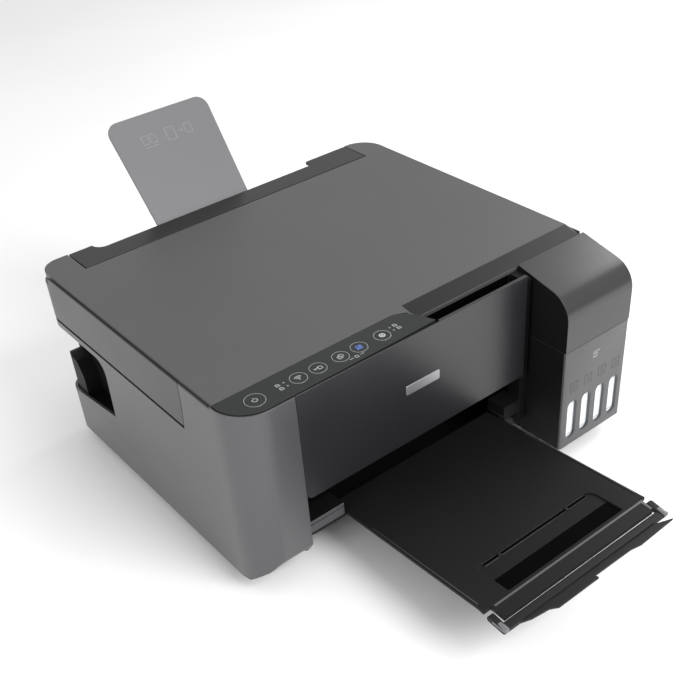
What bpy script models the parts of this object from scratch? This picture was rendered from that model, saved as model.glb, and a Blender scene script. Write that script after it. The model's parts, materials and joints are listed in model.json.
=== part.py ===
"""Tank-type inkjet printer with scanner, modelled as separate parts.

Machine coordinates, in metres: x runs from the left side to the right side, y from the
front face of the ink tank unit to the rear, z up from the surface it stands on.  Every
part is parented to one empty that moves the machine's origin to the middle of its base.
"""
import math

import bmesh
import bpy
from mathutils import Matrix, Vector

MM = 0.001
GAP = 0.3 * MM           # clearance between fixed neighbours
SEAM = 0.8 * MM          # visible seam between covers
WALL = 2.5 * MM          # moulded wall

# Overall sizes
WIDTH = 375 * MM
DEPTH = 349 * MM
HEIGHT = 179 * MM        # top of the document cover

# Levels
FOOT_H = 4 * MM
COVER_Z0 = 13 * MM       # lower edge of the side covers
DECK_Z1 = 16 * MM        # top of the base pan's flange
HOUSING_TOP = 132.5 * MM
SCANNER_Z0 = 135.5 * MM
SCANNER_TOP = 170.7 * MM
PANEL_Z0 = 172.8 * MM    # underside of the control panel
OUTLET_TOP = 80 * MM     # lower edge of the front panel
SKIN_TOP = 178.4 * MM    # top of the thin wall round the control panel
RIM_TOP = 176.5 * MM     # top of the rim round the document cover

# Plan
FRONT_Y = 37 * MM        # front of the left column and the front panel
LID_FRONT_Y = 70.3 * MM
LID_NOSE_Y = 58.6 * MM   # front edge of the cover's right part
LID_NOSE_X = 184 * MM
LID_REAR_Y = DEPTH - 35.4 * MM
SIDE_SPLIT_Y = 113.8 * MM
FRONT_R = 30 * MM
REAR_LEFT_R = 20 * MM
REAR_RIGHT_R = 28 * MM
HORN_X0 = 31 * MM        # inner edge of the cover's rear-left horn
HORN_X1 = WIDTH - 29.5 * MM
RETURN_Y = 66 * MM       # rear end of the left column's inner wall
PANEL_X0 = 52 * MM       # left edge of the front panel
PANEL_TIP_X = 189 * MM   # right tip of the control panel
TANK_X0 = WIDTH - 79.4 * MM
PANEL_X1 = TANK_X0 - 9.6 * MM
SKIN = 1 * MM            # thin wall that stands up round the control panel

# Scanner
GLASS_X = (35 * MM, WIDTH - 36 * MM)
GLASS_Y = (78 * MM, LID_REAR_Y - 19.6 * MM)
GLASS_T = 2.5 * MM
CIS_W = 16 * MM
CIS_RAIL_R = 3 * MM
CIS_RAIL_Z = 142 * MM
SCAN_AXIS_Y = DEPTH - 9 * MM
SCAN_AXIS_Z = 172.5 * MM
LID_AXIS_Y = DEPTH - 0.5 * MM
LID_AXIS_Z = 176.3 * MM

# Paper feed: an inclined plane, measured down from the slot
FEED_TILT = math.radians(39)
SLOT_Y = DEPTH - 7.7 * MM
SLOT_Z = 176 * MM
HOPPER_T = 2.5 * MM
HOPPER_X = (36 * MM, WIDTH - 34 * MM)
HOPPER_S = (3 * MM, 95 * MM)
SUPPORT_X = (117.7 * MM, 224.7 * MM)
SUPPORT_S = (-101.8 * MM, 22 * MM)
SUPPORT_T = 2.2 * MM
SUPPORT_R = 11 * MM
PAPER_W = 213 * MM
PAPER_X = (WIDTH - 92 * MM - PAPER_W, WIDTH - 92 * MM)
GUARD_T = 3 * MM
GUARD_AXIS_Y = LID_REAR_Y + 2.8 * MM

# Output tray, sloping up to the front
TRAY_X = (89 * MM, PANEL_X1 - 22 * MM)
TRAY_REAR_Y = 58 * MM
TRAY_FRONT_Y = -114 * MM
TRAY_T = 3 * MM
TRAY_SLOPE = math.radians(3.7)
TRAY_REF = (45 * MM, 42 * MM)     # y and z of a point on its top face
TRAY_BAR_L = 14 * MM
STOP_ARM_W = 5 * MM
ARM_REACH = 15.5 * MM    # the stopper's arms, from their axis
STOP_REACH = 23.5 * MM

# Buttons: x of each centre
BUTTON_Y = 53.5 * MM
BUTTON_X = [28.2 * MM, 66.6 * MM, 84.4 * MM, 105.3 * MM, 123 * MM, 145.6 * MM]
POWER_R = 8.4 * MM
BUTTON_R = 7.2 * MM
BUTTON_H = 5 * MM

# Ink tanks
TANK_DEPTH = 55.5 * MM
TANK_SPLIT_Z = 115 * MM
TANK_COUNT = 4
TANK_PITCH = 18 * MM
TANK_FIRST_X = TANK_X0 + 13.4 * MM
TANK_W = 16.4 * MM
TANK_Y = (WALL + 0.5 * MM, 50 * MM)
TANK_Z = (COVER_Z0 + WALL + 0.5 * MM, 108.4 * MM)
NECK_Y = 26 * MM
NECK_R = 5 * MM
NECK_TOP = 114.6 * MM
WINDOW_W = 11.5 * MM
WINDOW_Z = (20 * MM, 61 * MM)
HOOD_R = 24 * MM
HOOD_TOP = 177 * MM
HOOD_REAR_Y = 57 * MM
CAP_T = 4.6 * MM
CAP_AXIS_Y = 47 * MM

# Print mechanism, placed from the rear
FEED_YZ = (DEPTH - 146 * MM, 80 * MM)
EXIT_YZ = (DEPTH - 220 * MM, 77 * MM)
FEED_R = 4.5 * MM
PICK_R = 14 * MM
PLATE_X = (21 * MM, WIDTH - 26 * MM)     # left face of each frame plate
PLATE_T = 2 * MM
CARRIAGE_X = (WIDTH - 79 * MM, WIDTH - 31 * MM)
CARRIAGE_Y = (FEED_YZ[0] - 51 * MM, FEED_YZ[0] + MM)
CARRIAGE_Z = (90 * MM, 128 * MM)
RAIL_Y = FEED_YZ[0] + 9 * MM
BELT_Z = 108 * MM
BELT_R = 6.5 * MM
BELT_T = 1.2 * MM
BELT_W = 5 * MM
BELT_Y = RAIL_Y + 8.5 * MM
PULLEY_X = (34 * MM, WIDTH - 45 * MM)
MODULE = 1.2 * MM
GEAR_W = 5 * MM
GEAR_X = 15 * MM
GEAR_CLEAR = 0.3 * MM
PINION_TEETH = 10
FEED_TEETH = 36
IDLER_TEETH = 32
EXIT_TEETH = 24
PINION_ANGLE = math.radians(-35)

SHAFT_CLEAR = 0.3 * MM

# Hand grip in the left side, near the rear
GRIP_Y = (DEPTH - 100 * MM, DEPTH + 3 * MM)
GRIP_Z = (58 * MM, 127 * MM)

# Rear connectors
INLET_X = WIDTH - 75 * MM
INLET_Z = 42 * MM
USB_X = 60 * MM
USB_Z = 60 * MM


def feed_point(s, off):
    """Point on the feed incline, s down from the slot and off in front of it."""
    y = SLOT_Y - s * math.sin(FEED_TILT) - off * math.cos(FEED_TILT)
    z = SLOT_Z - s * math.cos(FEED_TILT) + off * math.sin(FEED_TILT)
    return y, z


def tray_point(y, off):
    """Point at depth y on the tray's top face, raised by off."""
    z = TRAY_REF[1] + (TRAY_REF[0] - y) * math.tan(TRAY_SLOPE)
    return y, z + off


PICK_YZ = feed_point(91.7 * MM, PICK_R + GAP)
SUPPORT_OFF = -(HOPPER_T + 0.4 * MM)
STOP_AXIS = tray_point(TRAY_FRONT_Y - 7 * MM, -3 * MM)
FRONT_LIMIT = STOP_AXIS[0] - STOP_REACH
REAR_LIMIT = feed_point(SUPPORT_S[0], SUPPORT_OFF - SUPPORT_T)[0]


# ---------------------------------------------------------------- scene helpers

for old in list(bpy.data.objects):
    bpy.data.objects.remove(old, do_unlink=True)

parts = bpy.data.collections.new("inkjet_printer")
cutters = bpy.data.collections.new("cutters")
bpy.context.scene.collection.children.link(parts)
bpy.context.scene.collection.children.link(cutters)

origin = bpy.data.objects.new("machine_origin", None)
origin.location = (-WIDTH / 2, -(FRONT_LIMIT + REAR_LIMIT) / 2, 0)
parts.objects.link(origin)


def material(name, color, roughness=0.5, metallic=0.0):
    mat = bpy.data.materials.get(name)
    if mat is None:
        mat = bpy.data.materials.new(name)
        mat.use_nodes = True
        shader = mat.node_tree.nodes["Principled BSDF"]
        shader.inputs["Base Color"].default_value = (*color, 1)
        shader.inputs["Roughness"].default_value = roughness
        shader.inputs["Metallic"].default_value = metallic
    return mat


BODY = material("body_plastic", (0.075, 0.075, 0.078), 0.5)
LID = material("lid_plastic", (0.10, 0.10, 0.105), 0.5)
GLOSS = material("panel_plastic", (0.05, 0.05, 0.055), 0.3)
DARK = material("dark_plastic", (0.015, 0.015, 0.016), 0.55)
GREY = material("grey_plastic", (0.25, 0.25, 0.27), 0.5)
WHITE = material("white_foam", (0.85, 0.85, 0.84), 0.7)
CLEAR = material("tank_plastic", (0.75, 0.80, 0.83), 0.3)
GLASS = material("scan_glass", (0.6, 0.65, 0.65), 0.05)
STEEL = material("steel", (0.55, 0.55, 0.56), 0.35, 1.0)
RUBBER = material("rubber", (0.02, 0.02, 0.02), 0.85)


def face_outward(bm):
    """Turn all faces of a closed shape outward."""
    bmesh.ops.recalc_face_normals(bm, faces=bm.faces)
    if bm.calc_volume(signed=True) < 0:
        bmesh.ops.reverse_faces(bm, faces=bm.faces)


def new_object(name, mesh):
    return bpy.data.objects.new(name, mesh)


def box_mesh(name, x, y, z):
    """A box between the limits of three (low, high) pairs, about its own centre."""
    mesh = bpy.data.meshes.new(name)
    bm = bmesh.new()
    bmesh.ops.create_cube(bm, size=1.0)
    size = Vector((x[1] - x[0], y[1] - y[0], z[1] - z[0]))
    bmesh.ops.scale(bm, vec=size, verts=bm.verts)
    bm.to_mesh(mesh)
    bm.free()
    obj = new_object(name, mesh)
    obj.location = ((x[0] + x[1]) / 2, (y[0] + y[1]) / 2, (z[0] + z[1]) / 2)
    return obj


AXES = {
    "Z": Matrix.Identity(4),
    "X": Matrix(((0, 0, 1, 0), (1, 0, 0, 0), (0, 1, 0, 0), (0, 0, 0, 1))),
    "Y": Matrix(((1, 0, 0, 0), (0, 0, -1, 0), (0, 1, 0, 0), (0, 0, 0, 1))),
}


def outline_mesh(name, points, axis, low, high):
    """A flat outline drawn across an axis and extruded along it from low to high.

    The points are (x, y) for Z, (y, z) for X and (x, z) for Y.
    """
    curve = bpy.data.curves.new(name, "CURVE")
    curve.dimensions = "2D"
    curve.fill_mode = "BOTH"
    curve.extrude = (high - low) / 2
    spline = curve.splines.new("POLY")
    spline.points.add(len(points) - 1)
    for slot, (u, v) in zip(spline.points, points):
        slot.co = (u, v, 0, 1)
    spline.use_cyclic_u = True
    source = new_object(name + "_curve", curve)
    cutters.objects.link(source)
    bpy.context.view_layer.update()
    depsgraph = bpy.context.evaluated_depsgraph_get()
    mesh = bpy.data.meshes.new_from_object(source.evaluated_get(depsgraph))
    mesh.name = name
    bpy.data.objects.remove(source, do_unlink=True)
    bm = bmesh.new()
    bm.from_mesh(mesh)
    bmesh.ops.remove_doubles(bm, verts=bm.verts, dist=1e-6)
    bm.transform(AXES[axis])
    face_outward(bm)
    bm.to_mesh(mesh)
    bm.free()
    obj = new_object(name, mesh)
    middle = (low + high) / 2
    if axis == "Z":
        obj.location.z = middle
    elif axis == "X":
        obj.location.x = middle
    else:
        obj.location.y = middle
    return obj


def cylinder_mesh(name, radius, centre, axis, length, sides=24):
    """A round bar centred on a point, with its axis along X, Y or Z."""
    mesh = bpy.data.meshes.new(name)
    bm = bmesh.new()
    bmesh.ops.create_cone(bm, cap_ends=True, segments=sides, radius1=radius,
                          radius2=radius, depth=length)
    bm.transform(AXES[axis])
    face_outward(bm)
    bm.to_mesh(mesh)
    bm.free()
    mesh.shade_smooth()
    mesh.set_sharp_from_angle(angle=math.radians(35))
    obj = new_object(name, mesh)
    obj.location = centre
    return obj


def turned_mesh(name, profile, centre, sides=24):
    """A turned part about X from (distance along, radius) pairs that start and end at 0."""
    mesh = bpy.data.meshes.new(name)
    points = [(radius, 0, along) for along, radius in profile]
    mesh.from_pydata(points, [(i, i + 1) for i in range(len(points) - 1)], [])
    obj = new_object(name, mesh)
    cutters.objects.link(obj)
    screw = obj.modifiers.new("turn", "SCREW")
    screw.steps = sides
    screw.render_steps = sides
    screw.use_merge_vertices = True
    screw.merge_threshold = 1e-5
    bpy.context.view_layer.update()
    depsgraph = bpy.context.evaluated_depsgraph_get()
    solid = bpy.data.meshes.new_from_object(obj.evaluated_get(depsgraph))
    bpy.data.objects.remove(obj, do_unlink=True)
    bm = bmesh.new()
    bm.from_mesh(solid)
    bmesh.ops.remove_doubles(bm, verts=bm.verts, dist=1e-6)
    bm.transform(AXES["X"])
    face_outward(bm)
    bm.to_mesh(solid)
    bm.free()
    turned = new_object(name, solid)
    turned.location = centre
    return turned


def combine(obj, other, operation):
    """Add a Boolean modifier whose cutter is hidden from renders."""
    cutters.objects.link(other)
    other.hide_render = True
    other.display_type = "WIRE"
    other.parent = origin
    mod = obj.modifiers.new(operation.lower(), "BOOLEAN")
    mod.operation = operation
    mod.solver = "EXACT"
    mod.object = other
    return obj


def cut(obj, *others):
    for other in others:
        combine(obj, other, "DIFFERENCE")
    return obj


def join(obj, *others):
    for other in others:
        combine(obj, other, "UNION")
    return obj


def bevel(obj, width, segments=2):
    mod = obj.modifiers.new("bevel", "BEVEL")
    mod.width = width
    mod.segments = segments
    mod.limit_method = "ANGLE"
    mod.angle_limit = math.radians(50)
    return obj


def arc(cx, cy, radius, start, end, steps=6):
    """Points on an arc, angles in degrees."""
    out = []
    for i in range(steps + 1):
        angle = math.radians(start + (end - start) * i / steps)
        out.append((cx + radius * math.cos(angle), cy + radius * math.sin(angle)))
    return out


def add(obj, mat):
    """Put a finished part in the printer."""
    parts.objects.link(obj)
    obj.data.materials.clear()
    obj.data.materials.append(mat)
    obj.parent = origin


# ---------------------------------------------------------------- base and covers

def base_pan():
    edge = WALL + SEAM
    corner = 30 * MM
    front = 70 * MM
    well_x = (18 * MM, WIDTH - 18 * MM)
    well_y = (front + 2 * MM, DEPTH - 17 * MM)
    deck = box_mesh("base_pan", (edge, WIDTH - edge), (front, DEPTH - edge), (COVER_Z0 + GAP, DECK_Z1))
    well = box_mesh("pan_well", well_x, well_y, (FOOT_H, DECK_Z1 - GAP))
    hollow = box_mesh("pan_hollow", (well_x[0] + WALL, well_x[1] - WALL),
                      (well_y[0] + WALL, well_y[1] - WALL), (FOOT_H + WALL, DECK_Z1 + 5 * MM))
    join(deck, well)
    cut(deck, hollow)
    for side, x in (("left", 0), ("right", WIDTH)):
        chamfer = box_mesh("pan_corner_" + side, (-corner, corner), (-corner, corner),
                           (0, 2 * DECK_Z1))
        chamfer.location = (x, DEPTH, COVER_Z0)
        chamfer.rotation_euler.z = math.radians(45)
        cut(deck, chamfer)
    add(deck, DARK)


def feet():
    for side, x in (("left", 38 * MM), ("right", WIDTH - 38 * MM)):
        for end, y in (("front", 90 * MM), ("rear", DEPTH - 35 * MM)):
            name = "foot_" + end + "_" + side
            foot = cylinder_mesh(name, 9 * MM, (x, y, (FOOT_H - GAP) / 2), "Z", FOOT_H - GAP)
            add(foot, RUBBER)


def left_strip(offset):
    """Plan line of the left cover, at an offset inside its outer face."""
    o = offset
    line = arc(REAR_LEFT_R, DEPTH - REAR_LEFT_R, REAR_LEFT_R - o, 90, 180, 9)
    line = [(22 * MM, DEPTH - o)] + line
    line += arc(FRONT_R, FRONT_Y + FRONT_R, FRONT_R - o, 180, 270, 12)
    return line


def seam_arc(offset):
    """Seam between the scanner's skirt and the left column, bottom to top, bent about the
    scanner's hinge so that the skirt clears the column as it opens."""
    radius = SCAN_AXIS_Y - SIDE_SPLIT_Y + offset
    low = math.degrees(math.asin((SCAN_AXIS_Z - HOUSING_TOP) / radius))
    high = math.degrees(math.asin((SCAN_AXIS_Z - HEIGHT - MM) / radius))
    return arc(SCAN_AXIS_Y, SCAN_AXIS_Z, radius, 180 + low, 180 + high, 6)


def left_side_cover():
    x_end = PANEL_X0 - SEAM
    rim = 1.6 * MM
    wide = (-5 * MM, 60 * MM)
    outer = left_strip(0) + [(x_end, FRONT_Y), (x_end, RETURN_Y)]
    inner = left_strip(WALL) + [(x_end - WALL, FRONT_Y + WALL), (x_end - WALL, RETURN_Y)]
    cover = outline_mesh("left_side_cover", outer + inner[::-1], "Z", COVER_Z0, SKIN_TOP)
    seat_rear = LID_FRONT_Y - 0.4 * MM
    seat = [(SKIN, seat_rear)] + arc(FRONT_R, FRONT_Y + FRONT_R, FRONT_R - SKIN, 180, 270, 12)
    seat += [(60 * MM, FRONT_Y + SKIN), (60 * MM, seat_rear)]
    under_panel = outline_mesh("left_cut_panel", seat, "Z", PANEL_Z0 - GAP, HEIGHT + MM)
    behind = seam_arc(SEAM)
    behind += [(DEPTH + 10 * MM, behind[-1][1]), (DEPTH + 10 * MM, behind[0][1])]
    above = outline_mesh("left_cut_top", behind, "X", *wide)
    low_rim = box_mesh("left_cut_rim", wide, (LID_FRONT_Y, SIDE_SPLIT_Y + 9 * MM),
                       (RIM_TOP, HEIGHT + MM))
    lid_seat = box_mesh("left_cut_seat", (rim, 60 * MM), (LID_FRONT_Y - MM, SIDE_SPLIT_Y + 5 * MM),
                        (SCANNER_TOP, HEIGHT))
    cut(cover, above, low_rim, lid_seat, under_panel)
    toe = outline_mesh("left_cut_toe", [(20 * MM, 0), (58 * MM, 0), (58 * MM, COVER_Z0 - MM),
                                        (57 * MM, COVER_Z0), (43 * MM, 24 * MM),
                                        (36 * MM, 36 * MM), (20 * MM, 36 * MM)],
                       "X", -5 * MM, 60 * MM)
    cut(cover, toe)
    low, high = GRIP_Y
    r = 14 * MM
    grip = [(high, GRIP_Z[0]), (low + 78 * MM, GRIP_Z[0]), (low + 2 * MM, GRIP_Z[0] + 11 * MM)]
    grip += arc(low + r, GRIP_Z[1] - r, r, 180, 90, 5)
    grip += [(high, GRIP_Z[1])]
    cut(cover, outline_mesh("left_cut_grip", grip, "X", -5 * MM, 40 * MM))
    add(cover, BODY)


def grip_housing():
    """Dark pocket behind the hand grip."""
    x = (WALL + 0.5 * MM, PLATE_X[0] - 0.5 * MM)
    y = (GRIP_Y[0] - 6 * MM, DEPTH - WALL - 0.9 * MM)
    z = (GRIP_Z[0] - 6 * MM, HOUSING_TOP - 1.5 * MM)
    pocket = box_mesh("grip_housing", x, y, z)
    hollow = box_mesh("grip_hollow", (0, x[1] - 2 * MM), (y[0] + 2 * MM, y[1] + 5 * MM),
                      (z[0] + 5.5 * MM, z[1] - 3.5 * MM))
    cut(pocket, hollow)
    arc_r = REAR_LEFT_R - WALL - SEAM
    outside = arc(REAR_LEFT_R, DEPTH - REAR_LEFT_R, arc_r, 180, 90)
    outside += [(30 * MM, DEPTH - REAR_LEFT_R + arc_r), (30 * MM, DEPTH + 5 * MM),
                (-5 * MM, DEPTH + 5 * MM), (-5 * MM, DEPTH - REAR_LEFT_R)]
    corner = outline_mesh("grip_corner", outside, "Z", 40 * MM, 140 * MM)
    cut(pocket, corner)
    r = 13 * MM
    foot = GRIP_Y[0] + 63 * MM
    boss = [(foot, z[0] + MM), (y[1], z[0] + MM)] + arc(y[1] - r, z[0] + 43 * MM - r, r, 0, 90, 6)
    boss += [(foot + 8 * MM, z[0] + 41 * MM), (foot, z[0] + 26 * MM)]
    boss = outline_mesh("grip_boss", boss, "X", x[0], x[1] - MM)
    cut(boss, outline_mesh("grip_boss_corner", outside, "Z", 40 * MM, 140 * MM))
    join(pocket, boss)
    add(pocket, DARK)


def right_side_cover():
    y0 = LID_NOSE_Y
    outer = [(WIDTH, y0)] + arc(WIDTH - REAR_RIGHT_R, DEPTH - REAR_RIGHT_R, REAR_RIGHT_R, 0, 90, 10)
    inner = [(WIDTH - WALL, y0)] + arc(WIDTH - REAR_RIGHT_R, DEPTH - REAR_RIGHT_R,
                                       REAR_RIGHT_R - WALL, 0, 90, 10)
    cover = outline_mesh("right_side_cover", outer + inner[::-1], "Z", COVER_Z0, HOUSING_TOP)
    add(cover, BODY)


def rear_cover():
    low = [(22 * MM + SEAM, COVER_Z0), (WIDTH - REAR_RIGHT_R - SEAM, COVER_Z0)]
    step = [(WIDTH - REAR_RIGHT_R - SEAM, HOUSING_TOP), (HORN_X1 - 2 * SEAM, HOUSING_TOP),
            (HORN_X1 - 2 * SEAM, 171 * MM), (HORN_X0 + 2 * SEAM, 171 * MM),
            (HORN_X0 + 2 * SEAM, HOUSING_TOP), (22 * MM + SEAM, HOUSING_TOP)]
    cover = outline_mesh("rear_cover", low + step, "Y", DEPTH - WALL, DEPTH)
    inlet = box_mesh("rear_cut_inlet", (INLET_X - 15 * MM, INLET_X + 15 * MM),
                     (DEPTH - 10 * MM, DEPTH + 10 * MM), (INLET_Z - 12 * MM, INLET_Z + 12 * MM))
    usb = box_mesh("rear_cut_usb", (USB_X - 7 * MM, USB_X + 7 * MM),
                   (DEPTH - 1.2 * MM, DEPTH + 10 * MM), (USB_Z - 7 * MM, USB_Z + 7 * MM))
    cut(cover, inlet, usb)
    add(cover, BODY)


def front_lip():
    """Sill around the tray: a block at each side, joined by a bar under the tray."""
    y0 = FRONT_Y + 3 * MM
    y1 = 60 * MM
    x0 = PANEL_X0 - 6 * MM
    x1 = PANEL_X1
    r = 12 * MM
    plan = [(x1, y0), (x1, y1), (x0, y1)] + arc(x0 + r, y0 + r, r, 180, 270)
    lip = outline_mesh("front_lip", plan, "Z", 28 * MM, 53 * MM)
    channel = box_mesh("lip_channel", (TRAY_X[0] - 2.2 * MM, TRAY_X[1] + 2.2 * MM),
                       (0, 80 * MM), (36 * MM, 70 * MM))
    recess = box_mesh("lip_recess", (x0 - 5 * MM, PANEL_X0 + MM), (0, 80 * MM),
                      (20 * MM, 70 * MM))
    toe = outline_mesh("lip_toe", [(20 * MM, 0), (66 * MM, 0), (48 * MM, 36 * MM),
                                   (38 * MM, 41 * MM), (20 * MM, 41 * MM)],
                       "X", x0 - 5 * MM, x1 + 5 * MM)
    cut(lip, channel, recess, toe)
    column_y = (y0 + 2 * MM, HOOD_REAR_Y)
    column = box_mesh("right_column", (x1 - MM, TANK_X0 - GAP), column_y, (28 * MM, 172 * MM))
    above_lip = box_mesh("column_cut", (x1 - 5 * MM, x1 + SEAM), (0, 80 * MM), (53 * MM, 180 * MM))
    cut(column, above_lip)
    join(lip, column)
    add(lip, BODY)


def front_panel():
    x0 = PANEL_X0
    x1 = PANEL_X1
    step = PANEL_TIP_X + 1.6 * MM
    r = 5 * MM
    face = FRONT_Y + 0.5 * MM
    outline = arc(x0 + r, OUTLET_TOP + r, r, 180, 270, 4)
    outline += [(x1, OUTLET_TOP), (x1, SKIN_TOP), (step, SKIN_TOP),
                (step, PANEL_Z0 - GAP), (x0, PANEL_Z0 - GAP)]
    panel = outline_mesh("front_panel", outline, "Y", face, face + 3 * MM)
    skin = box_mesh("panel_skin", (x0, step + MM), (face, face + SKIN), (PANEL_Z0 - 2 * MM, SKIN_TOP))
    ledge = box_mesh("panel_ledge", (step, x1), (face + 2.5 * MM, HOOD_REAR_Y),
                     (156 * MM, 158.5 * MM))
    join(panel, skin, ledge)
    add(panel, GLOSS)


def control_panel():
    inset = SKIN + 0.7 * MM
    front = FRONT_Y + 0.5 * MM + inset
    rear = LID_FRONT_Y - SEAM
    outline = arc(FRONT_R, FRONT_Y + FRONT_R, FRONT_R - inset, 180, 270, 12)
    outline += [(PANEL_X0, front), (PANEL_TIP_X - 39 * MM, front + MM),
                (PANEL_TIP_X, front + 2 * MM)]
    bend = 11.5 * MM
    outline += [(LID_NOSE_X - MM, 57.5 * MM), (LID_NOSE_X - 5 * MM, 63 * MM)]
    outline += [(170 * MM, rear - 0.6 * MM), (170 * MM - bend, rear), (inset, rear)]
    panel = outline_mesh("control_panel", outline, "Z", PANEL_Z0, HEIGHT)
    for i, x in enumerate(BUTTON_X):
        radius = POWER_R if i == 0 else BUTTON_R
        hole = cylinder_mesh("button_hole_%d" % i, radius + GAP, (x, BUTTON_Y, HEIGHT), "Z",
                             20 * MM, 32)
        cut(panel, hole)
    add(panel, GLOSS)


def buttons():
    names = ["power", "wireless", "network_status", "copy_mono", "copy_color", "stop"]
    for name, x in zip(names, BUTTON_X):
        radius = POWER_R if name == "power" else BUTTON_R
        button = cylinder_mesh("button_" + name, radius, (x, BUTTON_Y, HEIGHT - BUTTON_H / 2),
                               "Z", BUTTON_H, 32)
        add(button, GLOSS)


# ---------------------------------------------------------------- scanner unit

def mirrored(limits, side):
    """Limits across the width, as given on the left and turned over on the right."""
    return limits if side == "left" else (WIDTH - limits[1], WIDTH - limits[0])


def scanner_base():
    front_left = LID_FRONT_Y + 3.2 * MM
    front_right = LID_NOSE_Y + 1.9 * MM
    inset = WALL + 1.1 * MM
    outline = [(inset, front_left), (LID_NOSE_X + 3 * MM, front_left),
               (LID_NOSE_X + 3 * MM, front_right), (WIDTH, front_right)]
    outline += arc(WIDTH - REAR_RIGHT_R, DEPTH - REAR_RIGHT_R, REAR_RIGHT_R, 0, 90, 10)
    outline += [(HORN_X1, DEPTH), (HORN_X1, LID_REAR_Y), (HORN_X0, LID_REAR_Y),
                (HORN_X0, DEPTH)]
    outline += arc(REAR_LEFT_R, DEPTH - REAR_LEFT_R, REAR_LEFT_R, 90, 180, 9)
    outline += [(0, SIDE_SPLIT_Y - MM), (inset, SIDE_SPLIT_Y - MM)]
    tub = outline_mesh("scanner_base", outline, "Z", SCANNER_Z0, RIM_TOP)
    ahead = seam_arc(0)
    ahead += [(SIDE_SPLIT_Y - 5 * MM, ahead[-1][1]), (SIDE_SPLIT_Y - 5 * MM, ahead[0][1])]
    seam = outline_mesh("scan_seam", ahead, "X", -5 * MM, inset - 0.05 * MM)
    rim = 1.6 * MM
    corner_y = DEPTH - 20 * MM
    lid_seat = box_mesh("scan_lid_seat", (rim, WIDTH - rim), (40 * MM, corner_y + MM),
                        (SCANNER_TOP, 190 * MM))
    corners = box_mesh("scan_corner_seat", (-5 * MM, WIDTH + 5 * MM), (corner_y - MM, DEPTH + 5 * MM),
                       (SCANNER_TOP, 190 * MM))
    bay = box_mesh("scan_bay", (inset + WALL, WIDTH - WALL), (front_left + WALL, GLASS_Y[1]),
                   (SCANNER_Z0 + WALL, SCANNER_TOP - GLASS_T))
    nose = box_mesh("scan_nose", (LID_NOSE_X + 6 * MM, WIDTH - WALL),
                    (front_right + WALL, front_left + 5 * MM),
                    (SCANNER_Z0 + WALL, SCANNER_TOP - GLASS_T))
    opening = box_mesh("scan_opening", (GLASS_X[0] - GAP, GLASS_X[1] + GAP),
                       (GLASS_Y[0] - GAP, GLASS_Y[1] + GAP), (150 * MM, 180 * MM))
    slope_y = LID_REAR_Y - 16.9 * MM
    below = SCANNER_Z0 - 5 * MM
    slope = outline_mesh("scan_slope", [(slope_y, below), (slope_y, SCANNER_Z0), (LID_REAR_Y, 160 * MM),
                                        (LID_REAR_Y + 10 * MM, 160 * MM), (LID_REAR_Y + 10 * MM, below)],
                         "X", HORN_X0, HORN_X1)
    cut(tub, seam, lid_seat, corners, bay, nose, opening, slope)
    pocket_x = (4 * MM, 28 * MM)
    slot_x = (6 * MM, 15 * MM)
    for side in ("left", "right"):
        pocket = box_mesh("scan_pocket_" + side, mirrored(pocket_x, side), (LID_REAR_Y, DEPTH - WALL),
                          (below, 168.4 * MM))
        slot = box_mesh("scan_ear_slot_" + side, mirrored(slot_x, side),
                        (DEPTH - 19 * MM, DEPTH - WALL), (160 * MM, 180 * MM))
        cut(tub, pocket, slot)
    add(tub, BODY)


def scanner_glass():
    glass = box_mesh("scanner_glass", GLASS_X, GLASS_Y, (SCANNER_TOP - GLASS_T, SCANNER_TOP))
    add(glass, GLASS)


def scanner_inside():
    length = (GLASS_X[0] - 20 * MM, GLASS_X[1] + 20 * MM)
    rail_y = sum(GLASS_Y) / 2 + 7 * MM
    rail = cylinder_mesh("scan_rail", CIS_RAIL_R, (sum(length) / 2, rail_y, CIS_RAIL_Z),
                         "X", length[1] - length[0], 16)
    add(rail, STEEL)
    x0 = GLASS_X[0] + 3 * MM
    bar = box_mesh("scan_head", (x0, x0 + CIS_W), (GLASS_Y[0] + MM, GLASS_Y[1] - MM),
                   (CIS_RAIL_Z + CIS_RAIL_R + GAP, SCANNER_TOP - GLASS_T - 0.7 * MM))
    add(bevel(bar, 1 * MM, 1), DARK)


def hinge_brackets():
    ear_r = 3.5 * MM
    arm_y = SCAN_AXIS_Y - 20 * MM
    arm_z = HOUSING_TOP - 1.1 * MM
    for side in ("left", "right"):
        x = mirrored((8 * MM, 12 * MM), side)
        outline = [(arm_y + 4 * MM, arm_z)]
        outline += arc(SCAN_AXIS_Y, SCAN_AXIS_Z, ear_r, -27, 153, 8)
        outline += [(arm_y - 4 * MM, arm_z)]
        bracket = outline_mesh("hinge_bracket_" + side, outline, "X", *x)
        hole = cylinder_mesh("hinge_hole_" + side, 2 * MM, (x[0], SCAN_AXIS_Y, SCAN_AXIS_Z), "X",
                             20 * MM, 16)
        cut(bracket, hole)
        add(bracket, STEEL)


# ---------------------------------------------------------------- document cover

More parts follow.
